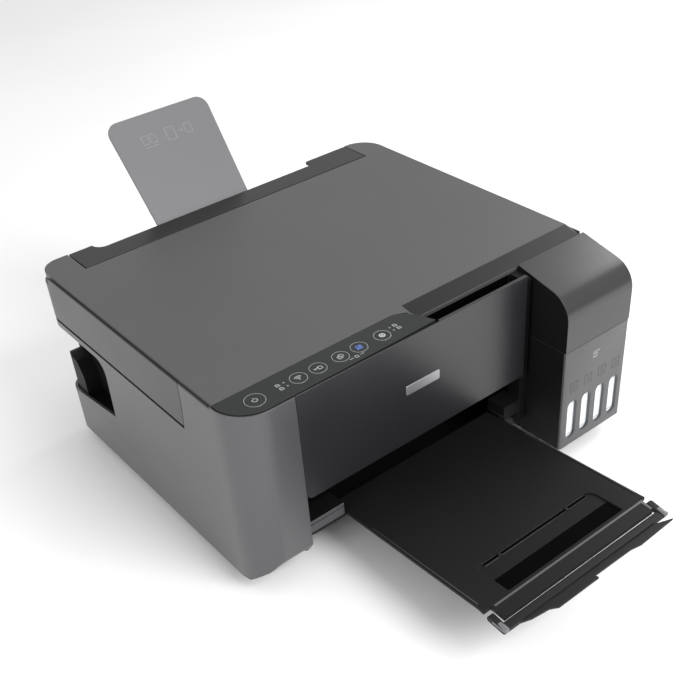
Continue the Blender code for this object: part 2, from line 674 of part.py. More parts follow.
def document_cover():
    x0 = 2.5 * MM
    x1 = WIDTH - x0
    bend = 14 * MM
    front = LID_FRONT_Y
    nose = LID_NOSE_Y
    outline = [(x0, front), (LID_NOSE_X - bend, front), (LID_NOSE_X - 5 * MM, front - 4.5 * MM),
               (LID_NOSE_X, nose + 2 * MM), (LID_NOSE_X + 4 * MM, nose), (x1 - 2 * MM, nose),
               (x1, nose + 2 * MM)]
    rear_r = REAR_RIGHT_R - x0
    outline += arc(x1 - rear_r, DEPTH - rear_r, rear_r, 0, 90, 10)
    outline += [(HORN_X1, DEPTH), (HORN_X1, LID_REAR_Y), (HORN_X0, LID_REAR_Y),
                (HORN_X0, DEPTH)]
    left_r = REAR_LEFT_R - x0
    outline += arc(x0 + left_r, DEPTH - left_r, left_r, 90, 180, 9)
    lid = outline_mesh("document_cover", outline, "Z", SCANNER_TOP + 0.5 * MM, HEIGHT)
    mat_room = box_mesh("lid_room", (GLASS_X[0] - 5 * MM, GLASS_X[1] + 5 * MM),
                        (GLASS_Y[0] - 2 * MM, GLASS_Y[1] + 5 * MM), (165 * MM, 176 * MM))
    slant = outline_mesh("lid_slant", [(75 * MM, HEIGHT), (75 * MM, HEIGHT + 5 * MM),
                                       (50 * MM, HEIGHT + 5 * MM), (50 * MM, 173.1 * MM),
                                       (nose, 174.6 * MM)], "X", LID_NOSE_X - 3 * MM, WIDTH)
    cut(lid, mat_room, slant)
    for side in ("left", "right"):
        room = box_mesh("lid_ear_room_" + side, mirrored((5 * MM, 27 * MM), side),
                        (DEPTH - 18 * MM, DEPTH + 9 * MM), (165 * MM, 176.6 * MM))
        cut(lid, room)
    add(lid, LID)
    shift_origin(lid, (WIDTH / 2, LID_AXIS_Y, LID_AXIS_Z))


def shift_origin(obj, point):
    """Keep the shape where it was drawn and put the object's origin on its joint axis."""
    point = Vector(point)
    offset = Vector(obj.location) - point
    obj.data.transform(Matrix.Translation(offset))
    obj.location = point


def lid_mat():
    foam = box_mesh("lid_mat", (GLASS_X[0] - 3 * MM, GLASS_X[1] + 3 * MM),
                    (GLASS_Y[0] - MM, GLASS_Y[1] + 3 * MM), (SCANNER_TOP + GAP, 175.6 * MM))
    add(foam, WHITE)


# ---------------------------------------------------------------- paper feed

def hopper():
    outline = [feed_point(HOPPER_S[0], 0), feed_point(HOPPER_S[1], 0),
               feed_point(HOPPER_S[1], -HOPPER_T), feed_point(HOPPER_S[0], -HOPPER_T)]
    plate = outline_mesh("hopper", outline, "X", *HOPPER_X)
    guide = [feed_point(8 * MM, -MM), feed_point(75 * MM, -MM), feed_point(75 * MM, 8.4 * MM),
             feed_point(14 * MM, 8.4 * MM)]
    join(plate, outline_mesh("fixed_guide", guide, "X", PAPER_X[1], PAPER_X[1] + 3 * MM))
    front = LID_REAR_Y + 1.6 * MM
    rear = DEPTH - 4 * MM
    top = 175.4 * MM
    for side, x in (("left", HOPPER_X[0] - WALL + MM), ("right", HOPPER_X[1] - MM)):
        cheek = [(front + 2.8 * MM, HOUSING_TOP + 2 * MM), (rear - 2 * MM, HOUSING_TOP - 20 * MM),
                 (rear, 170 * MM), (rear - 2 * MM, top), (front + 4.8 * MM, top),
                 (front, 170 * MM), (front, 162 * MM)]
        join(plate, outline_mesh("feed_cheek_" + side, cheek, "X", x, x + WALL))
    add(plate, DARK)


def edge_guide():
    height = 8 * MM
    near = 0.4 * MM
    far = near + height
    outline = [feed_point(8 * MM, near), feed_point(75 * MM, near), feed_point(75 * MM, far),
               feed_point(14 * MM, far)]
    guide = outline_mesh("edge_guide", outline, "X", PAPER_X[0] - 5 * MM, PAPER_X[0] - 2 * MM)
    foot_top = near + 2 * MM
    foot = [feed_point(30 * MM, near), feed_point(60 * MM, near), feed_point(60 * MM, foot_top),
            feed_point(30 * MM, foot_top)]
    join(guide, outline_mesh("guide_foot", foot, "X", PAPER_X[0] - 18 * MM, PAPER_X[0] - 3 * MM))
    add(guide, GREY)


def paper_support():
    """Plate that slides up behind the hopper, with round upper corners."""
    width = SUPPORT_X[1] - SUPPORT_X[0]
    length = SUPPORT_S[1] - SUPPORT_S[0]
    r = SUPPORT_R
    flare = 4 * MM
    outline = [(width / 2 - flare, -length / 2), (width / 2, length / 2 - r)]
    outline += arc(width / 2 - r, length / 2 - r, r, 0, 90)[1:]
    outline += arc(-width / 2 + r, length / 2 - r, r, 90, 180)
    outline += [(-width / 2 + flare, -length / 2)]
    plate = outline_mesh("paper_support", outline, "Z", -SUPPORT_T / 2, SUPPORT_T / 2)
    middle = (SUPPORT_S[0] + SUPPORT_S[1]) / 2
    y, z = feed_point(middle, SUPPORT_OFF - SUPPORT_T / 2)
    plate.location = ((SUPPORT_X[0] + SUPPORT_X[1]) / 2, y, z)
    plate.rotation_euler.x = math.pi / 2 - FEED_TILT
    add(plate, GREY)


def feeder_guard():
    y0 = LID_REAR_Y + 1.2 * MM
    y1 = DEPTH - MM
    recess = DEPTH - 11 * MM
    x0 = HORN_X0 + 1.2 * MM
    x1 = HORN_X1 - 1.2 * MM
    low = 56 * MM
    high = HORN_X1 - 50.5 * MM
    r = 9 * MM
    outline = [(x0, y0), (x1, y0), (x1, y1), (high, y1), (high, recess), (low + r, recess)]
    outline += arc(low + r, y1, y1 - recess, 270, 180, 5)[1:]
    outline += [(x0, y1)]
    guard = outline_mesh("feeder_guard", outline, "Z", HEIGHT - GUARD_T, HEIGHT)
    add(guard, BODY)
    shift_origin(guard, (WIDTH / 2, GUARD_AXIS_Y, HEIGHT - GUARD_T / 2))


# ---------------------------------------------------------------- output tray

def output_tray():
    """Sloping tray with a lighter bar along its front edge."""
    rear = tray_point(TRAY_REAR_Y, 0)
    front = tray_point(TRAY_FRONT_Y, 0)
    bar_end = tray_point(TRAY_FRONT_Y - TRAY_BAR_L, -1.5 * MM)
    profile = [(rear[0], rear[1] - TRAY_T), (front[0] + 8 * MM, front[1] - TRAY_T),
               (bar_end[0], bar_end[1] - 3.5 * MM), bar_end, front, rear]
    tray = outline_mesh("output_tray", profile, "X", *TRAY_X)
    for side, x in (("left", (TRAY_X[0] - MM, TRAY_X[0] + 7 * MM)),
                    ("right", (TRAY_X[1] - 7 * MM, TRAY_X[1] + MM))):
        notch = box_mesh("tray_notch_" + side, x, (TRAY_FRONT_Y - 30 * MM, TRAY_FRONT_Y - 0.5 * MM),
                         (20 * MM, 70 * MM))
        cut(tray, notch)
    seat_x = (TRAY_X[0] + 27 * MM, TRAY_X[1] - 23 * MM)
    y0 = TRAY_FRONT_Y + 36 * MM
    r = 8 * MM
    plan = [(seat_x[0], TRAY_FRONT_Y + 2 * MM), (seat_x[1], TRAY_FRONT_Y + 2 * MM)]
    plan += arc(seat_x[1] - r, y0 - r, r, 0, 90, 4)
    plan += arc(seat_x[0] + r, y0 - r, r, 90, 180, 4)
    depth = 1.2 * MM
    seat = outline_mesh("tray_seat", plan, "Z", 0, 20 * MM)
    middle_y = (TRAY_FRONT_Y + y0) / 2
    level = tray_point(middle_y, -depth)[1]
    shear = Matrix.Identity(4)
    shear[2][1] = -math.tan(TRAY_SLOPE)
    seat.data.transform(Matrix.Translation((0, -middle_y, 10 * MM)))
    seat.data.transform(shear)
    seat.location = (0, middle_y, level)
    cut(tray, seat)
    add(tray, DARK)


def paper_stopper():
    """U-shaped frame that folds at the front of the tray."""
    ax_y, ax_z = STOP_AXIS
    arm = STOP_ARM_W
    x0 = TRAY_X[0] - 1 * MM
    x1 = TRAY_X[1] + 1 * MM
    half = 2.5 * MM
    side = arc(ax_y, ax_z, half, 90, -90, 6) + arc(ax_y - ARM_REACH + 2 * MM, ax_z - 1.5 * MM,
                                                  2 * MM, 270, 90, 4)
    frame = outline_mesh("paper_stopper", side[::-1], "X", x0, x0 + arm)
    other = outline_mesh("stopper_arm", side[::-1], "X", x1 - arm, x1)
    bar_y = (ax_y - ARM_REACH + 0.5 * MM, ax_y - ARM_REACH + 7 * MM)
    bar = box_mesh("stopper_bar", (x0 + MM, x1 - MM), bar_y, (ax_z - 3.2 * MM, ax_z + 0.4 * MM))
    tip = ax_y - STOP_REACH
    rear = bar_y[0] + MM
    wing = [(x0 + 12 * MM, rear), (x0 + 24 * MM, rear - 4 * MM), (x0 + 40 * MM, rear - 6 * MM),
            (x0 + 46 * MM, tip), (x0 + 88 * MM, tip), (x0 + 87 * MM, tip + 3.2 * MM),
            (x1 - 50 * MM, tip + 2.9 * MM), (x1 - 40 * MM, tip + MM), (x1 - MM, tip + 2.5 * MM),
            (x1 - 12 * MM, rear - 3 * MM), (x1 - 20 * MM, rear)]
    blade = outline_mesh("stopper_wing", wing, "Z", ax_z - 3 * MM, ax_z - MM)
    join(frame, bar, other, blade)
    add(frame, BODY)
    shift_origin(frame, (WIDTH / 2, ax_y, ax_z))


# ---------------------------------------------------------------- ink tanks

def tank_x(i):
    return TANK_FIRST_X + i * TANK_PITCH


def tank_housing():
    r = 1.5 * MM
    plan = arc(TANK_X0 + 2 * MM, 2 * MM, 2 * MM, 180, 270, 2)
    plan += arc(WIDTH - r, r, r, 270, 360, 4)
    plan += [(WIDTH, TANK_DEPTH), (TANK_X0, TANK_DEPTH)]
    outer = outline_mesh("tank_housing", plan, "Z", COVER_Z0, TANK_SPLIT_Z)
    hollow = box_mesh("tank_hollow", (TANK_X0 + WALL, WIDTH - WALL), (WALL, TANK_DEPTH + 5 * MM),
                      (COVER_Z0 + WALL, TANK_SPLIT_Z + 5 * MM))
    cut(outer, hollow)
    half = WINDOW_W / 2
    low, high = WINDOW_Z
    for i in range(TANK_COUNT):
        x = tank_x(i)
        slot = arc(x, high - half, half, 0, 180, 8) + arc(x, low + half, half, 180, 360, 8)
        cut(outer, outline_mesh("window_%d" % i, slot, "Y", -5 * MM, WALL + GAP))
    add(outer, BODY)


def ink_tanks():
    """One moulding with a chamber, a filler neck and a bore for each colour."""
    wall = 1.5 * MM
    half = TANK_W / 2
    x_low = tank_x(0) - half
    x_high = tank_x(TANK_COUNT - 1) + half
    tanks = box_mesh("ink_tanks", (x_low, x_high), TANK_Y, TANK_Z)
    for i in range(TANK_COUNT):
        x = tank_x(i)
        neck = cylinder_mesh("neck_%d" % i, NECK_R, (x, NECK_Y, (TANK_Z[1] + NECK_TOP) / 2 - MM),
                             "Z", NECK_TOP - TANK_Z[1] + 2 * MM, 16)
        hollow = box_mesh("tank_room_%d" % i, (x - half + wall, x + half - wall),
                          (TANK_Y[0] + wall, TANK_Y[1] - wall), (TANK_Z[0] + wall, TANK_Z[1] - wall))
        bore = cylinder_mesh("neck_bore_%d" % i, NECK_R - 2 * MM, (x, NECK_Y, NECK_TOP), "Z",
                             20 * MM, 16)
        join(tanks, neck)
        cut(tanks, hollow, bore)
    add(tanks, CLEAR)


def filler_deck():
    """Plate over the tanks with the filler necks through it."""
    inner = 0.5 * MM
    deck = box_mesh("filler_deck", (TANK_X0 + WALL + inner, WIDTH - WALL - inner),
                    (WALL + inner, 54.5 * MM), (TANK_Z[1] + GAP, TANK_Z[1] + 2.8 * MM))
    ridge = box_mesh("deck_ridge", (TANK_X0 + WALL + inner, WIDTH - WALL - inner),
                     (51 * MM, 54.5 * MM), (TANK_Z[1] + MM, 120 * MM))
    join(deck, ridge)
    for i in range(TANK_COUNT):
        hole = cylinder_mesh("deck_hole_%d" % i, NECK_R + 0.6 * MM, (tank_x(i), NECK_Y, TANK_Z[1]),
                             "Z", 20 * MM, 16)
        cut(deck, hole)
    add(deck, DARK)


def tank_caps():
    low = NECK_TOP + GAP
    for i in range(TANK_COUNT):
        x = tank_x(i)
        half = 7 * MM
        plan = arc(x, NECK_Y - 3 * MM, half, 180, 360, 8)
        plan += [(x + half, CAP_AXIS_Y), (x - half, CAP_AXIS_Y)]
        cap = outline_mesh("tank_cap_%d" % (i + 1), plan, "Z", low, low + CAP_T)
        knuckle = cylinder_mesh("cap_knuckle_%d" % i, CAP_T / 2, (x, CAP_AXIS_Y, low + CAP_T / 2),
                                "X", 2 * half, 16)
        join(cap, knuckle)
        add(cap, DARK)
        shift_origin(cap, (x, CAP_AXIS_Y, low + CAP_T / 2))


def hood_profile(offset):
    """Side profile of the tank cover, at an offset inside its outer face."""
    o = offset
    r = HOOD_R - o
    cy = HOOD_R
    cz = HOOD_TOP - 8.5 * MM - HOOD_R
    line = [(o, TANK_SPLIT_Z + 0.6 * MM)] + arc(cy, cz, r, 180, 101, 8)
    line.append((HOOD_REAR_Y, HOOD_TOP - o))
    return line


def tank_cover():
    outer = hood_profile(0) + [(HOOD_REAR_Y, TANK_SPLIT_Z + 0.6 * MM)]
    inner = hood_profile(WALL)
    inner = [(WALL, TANK_SPLIT_Z - 5 * MM)] + inner[1:-1] + [(HOOD_REAR_Y + 5 * MM, HOOD_TOP - WALL),
                                                            (HOOD_REAR_Y + 5 * MM,
                                                             TANK_SPLIT_Z - 5 * MM)]
    hood = outline_mesh("tank_cover", outer, "X", TANK_X0, WIDTH)
    hollow = outline_mesh("hood_hollow", inner, "X", TANK_X0 + WALL, WIDTH - WALL)
    cut(hood, hollow)
    add(hood, BODY)


# ---------------------------------------------------------------- print mechanism

def gear_outline(teeth, phase):
    """Tooth outline about the origin; phase is the angle of one tooth's centre line."""
    pitch_r = teeth * MODULE / 2
    outer = pitch_r + 0.85 * MODULE
    root = pitch_r - 1.1 * MODULE
    step = 2 * math.pi / teeth
    points = []
    for i in range(teeth):
        centre = phase + i * step
        for radius, part in ((root, -0.30), (outer, -0.11), (outer, 0.11), (root, 0.30)):
            angle = centre + part * step
            points.append((radius * math.cos(angle), radius * math.sin(angle)))
    return points


def gear_distance(teeth_a, teeth_b):
    return (teeth_a + teeth_b) * MODULE / 2 + GEAR_CLEAR


def mesh_phase(centre_a, teeth_a, phase_a, centre_b, teeth_b):
    """Phase of gear b that puts one of its gaps around gear a's nearest tooth."""
    toward = math.atan2(centre_b[1] - centre_a[1], centre_b[0] - centre_a[0])
    step = 2 * math.pi / teeth_a
    ahead = (phase_a - toward) % step
    return toward + math.pi - ahead * teeth_a / teeth_b + math.pi / teeth_b


def circle_meet(a, ra, b, rb):
    """Upper point at distance ra from a and rb from b."""
    dy = b[0] - a[0]
    dz = b[1] - a[1]
    d = math.hypot(dy, dz)
    along = (ra * ra - rb * rb + d * d) / (2 * d)
    side = math.sqrt(max(ra * ra - along * along, 0))
    return a[0] + along * dy / d - side * dz / d, a[1] + along * dz / d + side * dy / d


PINION_YZ = (FEED_YZ[0] + gear_distance(PINION_TEETH, FEED_TEETH) * math.cos(PINION_ANGLE),
             FEED_YZ[1] + gear_distance(PINION_TEETH, FEED_TEETH) * math.sin(PINION_ANGLE))
IDLER_YZ = circle_meet(FEED_YZ, gear_distance(FEED_TEETH, IDLER_TEETH),
                       EXIT_YZ, gear_distance(IDLER_TEETH, EXIT_TEETH))


def gear(name, teeth, phase, centre, bore):
    wheel = outline_mesh(name, gear_outline(teeth, phase), "X", -GEAR_W / 2, GEAR_W / 2)
    wheel.location = (GEAR_X, *centre)
    hole = cylinder_mesh(name + "_bore", bore + SHAFT_CLEAR, (GEAR_X, *centre), "X", 20 * MM, 16)
    cut(wheel, hole)
    add(wheel, WHITE)


def gears():
    feed_phase = 0.0
    pinion_phase = mesh_phase(FEED_YZ, FEED_TEETH, feed_phase, PINION_YZ, PINION_TEETH)
    idler_phase = mesh_phase(FEED_YZ, FEED_TEETH, feed_phase, IDLER_YZ, IDLER_TEETH)
    exit_phase = mesh_phase(IDLER_YZ, IDLER_TEETH, idler_phase, EXIT_YZ, EXIT_TEETH)
    gear("feed_gear", FEED_TEETH, feed_phase, FEED_YZ, 3 * MM)
    gear("motor_pinion", PINION_TEETH, pinion_phase, PINION_YZ, 1.2 * MM)
    gear("idler_gear", IDLER_TEETH, idler_phase, IDLER_YZ, 2 * MM)
    gear("exit_gear", EXIT_TEETH, exit_phase, EXIT_YZ, 2.5 * MM)


def frame_plates():
    front = EXIT_YZ[0] - 17 * MM
    rear = PICK_YZ[0] + 13.3 * MM
    low = DECK_Z1 + MM
    for side, x in (("left", PLATE_X[0]), ("right", PLATE_X[1])):
        outline = [(front, low), (PICK_YZ[0] - 14.7 * MM, low), (rear, 96 * MM), (rear, 125 * MM),
                   (FEED_YZ[0] + 22 * MM, 125 * MM), (FEED_YZ[0] + 2 * MM, 112 * MM),
                   (front, 92 * MM)]
        plate = outline_mesh("frame_plate_" + side, outline, "X", x, x + PLATE_T)
        holes = [(FEED_YZ, 3 * MM), (EXIT_YZ, 2.5 * MM), (PICK_YZ, 3 * MM)]
        if side == "left":
            holes.append((PINION_YZ, 1.2 * MM))
            axle_x = (GEAR_X - 4 * MM, x + PLATE_T)
            join(plate, cylinder_mesh("idler_axle", 2 * MM, (sum(axle_x) / 2, *IDLER_YZ), "X",
                                      axle_x[1] - axle_x[0], 16))
        for i, (centre, radius) in enumerate(holes):
            cut(plate, cylinder_mesh("plate_hole_%s_%d" % (side, i), radius + SHAFT_CLEAR,
                                     (x, *centre), "X", 20 * MM, 16))
        add(plate, STEEL)


def rollers():
    x0 = GEAR_X - GEAR_W / 2 - 2 * MM
    body0 = PLATE_X[0] + PLATE_T + MM
    body1 = PLATE_X[1] - MM
    x1 = PLATE_X[1] + PLATE_T + 2 * MM

    def shaft(name, centre, thin, pieces, mat):
        """Shaft of radius thin with (start, end, radius) rollers along it."""
        profile = [(x0, 0), (x0, thin)]
        for start, end, radius in pieces:
            profile += [(start, thin), (start, radius), (end, radius), (end, thin)]
        profile += [(x1, thin), (x1, 0)]
        middle = (x0 + x1) / 2
        profile = [(along - middle, radius) for along, radius in profile]
        add(turned_mesh(name, profile[::-1], (middle, *centre), 16), mat)

    shaft("feed_roller", FEED_YZ, 3 * MM, [(body0, body1, FEED_R)], STEEL)
    pitch = (WIDTH - 100 * MM) / 5
    sleeves = [(60 * MM + i * pitch, 72 * MM + i * pitch, 5 * MM) for i in range(5)]
    shaft("exit_roller", EXIT_YZ, 2.5 * MM, sleeves, RUBBER)
    x0 = PLATE_X[0] - 0.2 * MM
    shaft("pickup_roller", PICK_YZ, 3 * MM, [(150 * MM, 190 * MM, PICK_R)], RUBBER)


def carriage_parts():
    x0, x1 = CARRIAGE_X
    body = box_mesh("carriage", CARRIAGE_X, CARRIAGE_Y, CARRIAGE_Z)
    arm = box_mesh("carriage_arm", (x0 + 20 * MM, x0 + 32 * MM),
                   (CARRIAGE_Y[1] - MM, BELT_Y - BELT_W / 2 - GAP), (104 * MM, 113 * MM))
    room = box_mesh("carriage_room", (x0 + 3 * MM, x1 - 3 * MM),
                    (CARRIAGE_Y[0] + 3 * MM, CARRIAGE_Y[1] - 10 * MM), (110 * MM, 140 * MM))
    head = box_mesh("print_head", (x0 + 10 * MM, x1 - 10 * MM),
                    (CARRIAGE_Y[0] + 8 * MM, CARRIAGE_Y[1] - 14 * MM), (85.4 * MM, 95 * MM))
    join(body, arm, head)
    cut(body, room)
    add(body, DARK)


def guide_rail():
    y = RAIL_Y
    outline = [(y - 5 * MM, 86.3 * MM), (y + 2 * MM, 86.3 * MM), (y + 2 * MM, 102 * MM),
               (y, 102 * MM), (y, 88 * MM), (y - 5 * MM, 88 * MM)]
    x0 = PLATE_X[0] + PLATE_T + GAP
    add(outline_mesh("guide_rail", outline, "X", x0, PLATE_X[1] - GAP), STEEL)


def belt_drive():
    x0, x1 = PULLEY_X

    def loop(radius):
        return arc(x1, BELT_Z, radius, -90, 90, 8) + arc(x0, BELT_Z, radius, 90, 270, 8)

    low = BELT_Y - BELT_W / 2
    belt = outline_mesh("timing_belt", loop(BELT_R + BELT_T), "Y", low, low + BELT_W)
    cut(belt, outline_mesh("belt_inside", loop(BELT_R + GAP), "Y", low - 5 * MM,
                           low + BELT_W + 5 * MM))
    add(belt, RUBBER)
    for name, x in (("idler_pulley", x0), ("drive_pulley", x1)):
        add(cylinder_mesh(name, BELT_R - GAP, (x, BELT_Y, BELT_Z), "Y", BELT_W, 20), STEEL)
    motor_y = (low + BELT_W + 2 * MM, low + BELT_W + 26 * MM)
    motor = cylinder_mesh("carriage_motor", 14 * MM, (x1, sum(motor_y) / 2, BELT_Z), "Y",
                          motor_y[1] - motor_y[0], 24)
    add(motor, STEEL)


def feed_motor():
    x0 = PLATE_X[0] + PLATE_T + GAP
    shaft_x = (GEAR_X - 3 * MM, x0 + 2 * MM)
    body = cylinder_mesh("feed_motor", 11 * MM, (x0 + 13 * MM, *PINION_YZ), "X", 26 * MM, 24)
    shaft = cylinder_mesh("feed_motor_shaft", 1.2 * MM, (sum(shaft_x) / 2, *PINION_YZ), "X",
                          shaft_x[1] - shaft_x[0], 12)
    join(body, shaft)
    add(body, STEEL)


def platen():
    x = (48 * MM, WIDTH - 87 * MM)
    y = (EXIT_YZ[0] + 8 * MM, FEED_YZ[0] - 5.5 * MM)
    ribs = 9
    pitch = (x[1] - x[0] - 24 * MM) / (ribs - 1)
    plate = box_mesh("platen", x, y, (77 * MM, 82 * MM))
    for i in range(ribs):
        rib_x = x[0] + 12 * MM + i * pitch
        rib = box_mesh("platen_rib_%d" % i, (rib_x, rib_x + 2 * MM), (y[0] + 4 * MM, y[1] - 4 * MM),
                       (80 * MM, 84 * MM))
        join(plate, rib)
    add(plate, DARK)


def electrics():
    rear = DEPTH - 14.5 * MM
    supply = box_mesh("power_supply", (INLET_X - 55 * MM, INLET_X + 41 * MM),
                      (rear - 72.5 * MM, rear - 0.5 * MM), (DECK_Z1 + GAP, 70 * MM))
    add(bevel(supply, 2 * MM), DARK)
    inlet = box_mesh("power_inlet", (INLET_X - 14.5 * MM, INLET_X + 14.5 * MM),
                     (rear, DEPTH - MM), (INLET_Z - 11.5 * MM, INLET_Z + 11.5 * MM))
    socket = box_mesh("inlet_socket", (INLET_X - 9 * MM, INLET_X + 9 * MM),
                      (rear + 3.5 * MM, DEPTH + 5 * MM), (INLET_Z - 6 * MM, INLET_Z + 6 * MM))
    cut(inlet, socket)
    add(inlet, DARK)


def ink_tubes():
    """Flat ribbon of ink tubes from the tanks to the clip at mid travel."""
    x0 = 160 * MM
    x1 = WIDTH - 35 * MM
    y = (TANK_DEPTH + CARRIAGE_Y[0]) / 2
    r = 8 * MM
    t = 3 * MM
    outer = [(x1, y - r - t), (x1, y - r)] + arc(x0, y, r, 270, 90, 6)
    outer += [(x1, y + r), (x1, y + r + t)]
    outer += arc(x0, y, r + t, 90, 270, 6)
    ribbon = outline_mesh("ink_tube_ribbon", outer, "Z", 100 * MM, 112 * MM)
    add(ribbon, CLEAR)


base_pan()
feet()
left_side_cover()
grip_housing()
right_side_cover()
rear_cover()
front_lip()
front_panel()
control_panel()
buttons()
scanner_base()
scanner_glass()
scanner_inside()
hinge_brackets()
document_cover()
lid_mat()
hopper()
edge_guide()
paper_support()
feeder_guard()
output_tray()
paper_stopper()
tank_housing()
ink_tanks()
filler_deck()
tank_caps()
tank_cover()
frame_plates()
gears()
rollers()
carriage_parts()
guide_rail()
belt_drive()
feed_motor()
platen()
electrics()
ink_tubes()
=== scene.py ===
"""Looks of the inkjet printer: materials, fine details, studio and camera.

Machine coordinates are used for places, in millimetres: x from the left side to the right, y from
the front of the ink tank unit to the rear, z up.  at() turns them into the frame's coordinates.
"""
import json
import math

import bmesh
import bpy
from mathutils import Euler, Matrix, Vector


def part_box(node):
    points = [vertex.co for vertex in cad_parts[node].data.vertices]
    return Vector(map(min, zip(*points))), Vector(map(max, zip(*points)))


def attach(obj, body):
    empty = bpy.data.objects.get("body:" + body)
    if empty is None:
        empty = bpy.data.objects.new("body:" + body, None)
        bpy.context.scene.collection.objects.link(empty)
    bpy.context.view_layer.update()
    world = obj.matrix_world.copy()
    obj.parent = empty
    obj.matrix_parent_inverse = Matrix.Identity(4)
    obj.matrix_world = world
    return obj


MM = 0.001

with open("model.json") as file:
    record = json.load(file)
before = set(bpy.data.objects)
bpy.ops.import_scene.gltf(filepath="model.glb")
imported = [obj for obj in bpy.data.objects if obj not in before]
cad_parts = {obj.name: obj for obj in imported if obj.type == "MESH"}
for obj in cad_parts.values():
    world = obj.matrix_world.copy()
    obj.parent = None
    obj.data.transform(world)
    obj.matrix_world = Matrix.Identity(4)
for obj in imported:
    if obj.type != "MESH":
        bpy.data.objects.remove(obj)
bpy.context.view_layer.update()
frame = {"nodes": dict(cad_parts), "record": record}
NODES = frame["nodes"]
ORIGIN = Vector((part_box("left_side_cover")[0].x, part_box("tank_housing")[0].y, 0))

# Tilts of the sloping surfaces, from the horizontal
FEED_TILT = math.radians(51)      # paper support and feed slope, rising to the rear
TRAY_TILT = math.radians(-3.7)    # output tray, rising to the front

# Four tanks in a row behind the front windows
TANKS = 4
TANK_FIRST_X = 309
TANK_PITCH = 18

SKIN = 0.1                        # thickness of a sheet that only changes a face's colour, used for painted shade
FLAT = 1e-6                       # millimetres under which two points are one

# Camera
CAMERA_AT = (-265.38, -462.82, 610.08)      # machine coordinates
CAMERA_TURN = (51.284, 3.803, -38.956)      # degrees
CAMERA_LENS = 53.46                         # millimetres, on a sensor 36 mm wide
CAMERA_SHIFT = (-0.0013, 0.1246)

INK_COLORS = {"black": (0.006, 0.006, 0.007), "cyan": (0.0, 0.19, 0.46),
              "magenta": (0.42, 0.01, 0.12), "yellow": (0.62, 0.46, 0.01)}


def at(x, y, z):
    """A machine position in millimetres, in the frame's coordinates."""
    return ORIGIN + Vector((x, y, z)) * MM


def machine(point):
    """A frame position in machine millimetres."""
    return (point - ORIGIN) / MM


def limits(node):
    """The low and high corners of a CAD node's box, in machine millimetres."""
    low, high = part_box(node)
    return machine(low), machine(high)


def middle(node):
    """The middle of a CAD node's box, in machine millimetres."""
    low, high = limits(node)
    return (low + high) / 2


def tank_x(index):
    """Machine x of the middle of a tank, counted from 0 at the left."""
    return TANK_FIRST_X + TANK_PITCH * index


# ---------------------------------------------------------------- materials

class Nodes:
    """A new material's node tree, with short ways to add and join nodes."""

    def __init__(self, name):
        self.material = bpy.data.materials.new(name)
        self.material.use_nodes = True
        self.tree = self.material.node_tree
        self.shader = self.tree.nodes["Principled BSDF"]
        coords = self.tree.nodes.new("ShaderNodeTexCoord")
        self.place = coords.outputs["Object"]

    def add(self, kind, **settings):
        node = self.tree.nodes.new(kind)
        for key, value in settings.items():
            setattr(node, key, value)
        return node

    def join(self, output, socket):
        """Link an output to an input socket."""
        self.tree.links.new(output, socket)

    def noise(self, size, detail=2.0, stretch=(1, 1, 1)):
        """Noise whose features are about size millimetres across."""
        mapping = self.add("ShaderNodeMapping")
        mapping.inputs["Scale"].default_value = stretch
        self.join(self.place, mapping.inputs["Vector"])
        noise = self.add("ShaderNodeTexNoise")
        noise.inputs["Scale"].default_value = 1 / (size * MM)
        noise.inputs["Detail"].default_value = detail
        self.join(mapping.outputs["Vector"], noise.inputs["Vector"])
        return noise.outputs["Fac"]

    def span(self, value, low, high):
        """Spreads the middle half of a noise's 0 to 1 over low to high."""
        spread = self.add("ShaderNodeMapRange")
        spread.inputs["From Min"].default_value = 0.25
        spread.inputs["From Max"].default_value = 0.75
        spread.inputs["To Min"].default_value = low
        spread.inputs["To Max"].default_value = high
        self.join(value, spread.inputs["Value"])
        return spread.outputs["Result"]

    def blend(self, fac, first, second):
        """A colour between two, by a 0 to 1 factor."""
        mix = self.add("ShaderNodeMix", data_type="RGBA")
        mix.inputs["A"].default_value = (*first, 1)
        mix.inputs["B"].default_value = (*second, 1)
        self.join(fac, mix.inputs["Factor"])
        return mix.outputs["Result"]

    def bump(self, height, depth, strength=1.0, normal=None):
        """A normal raised by a height map, whose full depth is in millimetres."""
        bump = self.add("ShaderNodeBump")
        bump.inputs["Strength"].default_value = strength
        bump.inputs["Distance"].default_value = depth * MM
        self.join(height, bump.inputs["Height"])
        if normal is not None:
            self.join(normal, bump.inputs["Normal"])
        return bump.outputs["Normal"]

    def round_edges(self, radius):
        """A normal that looks as if every edge had this radius, in millimetres."""
        bevel = self.add("ShaderNodeBevel", samples=6)
        bevel.inputs["Radius"].default_value = radius * MM
        return bevel.outputs["Normal"]


def scaled(color, factor):
    """A colour made lighter or darker, with no channel over 1."""
    return tuple(min(channel * factor, 1) for channel in color)


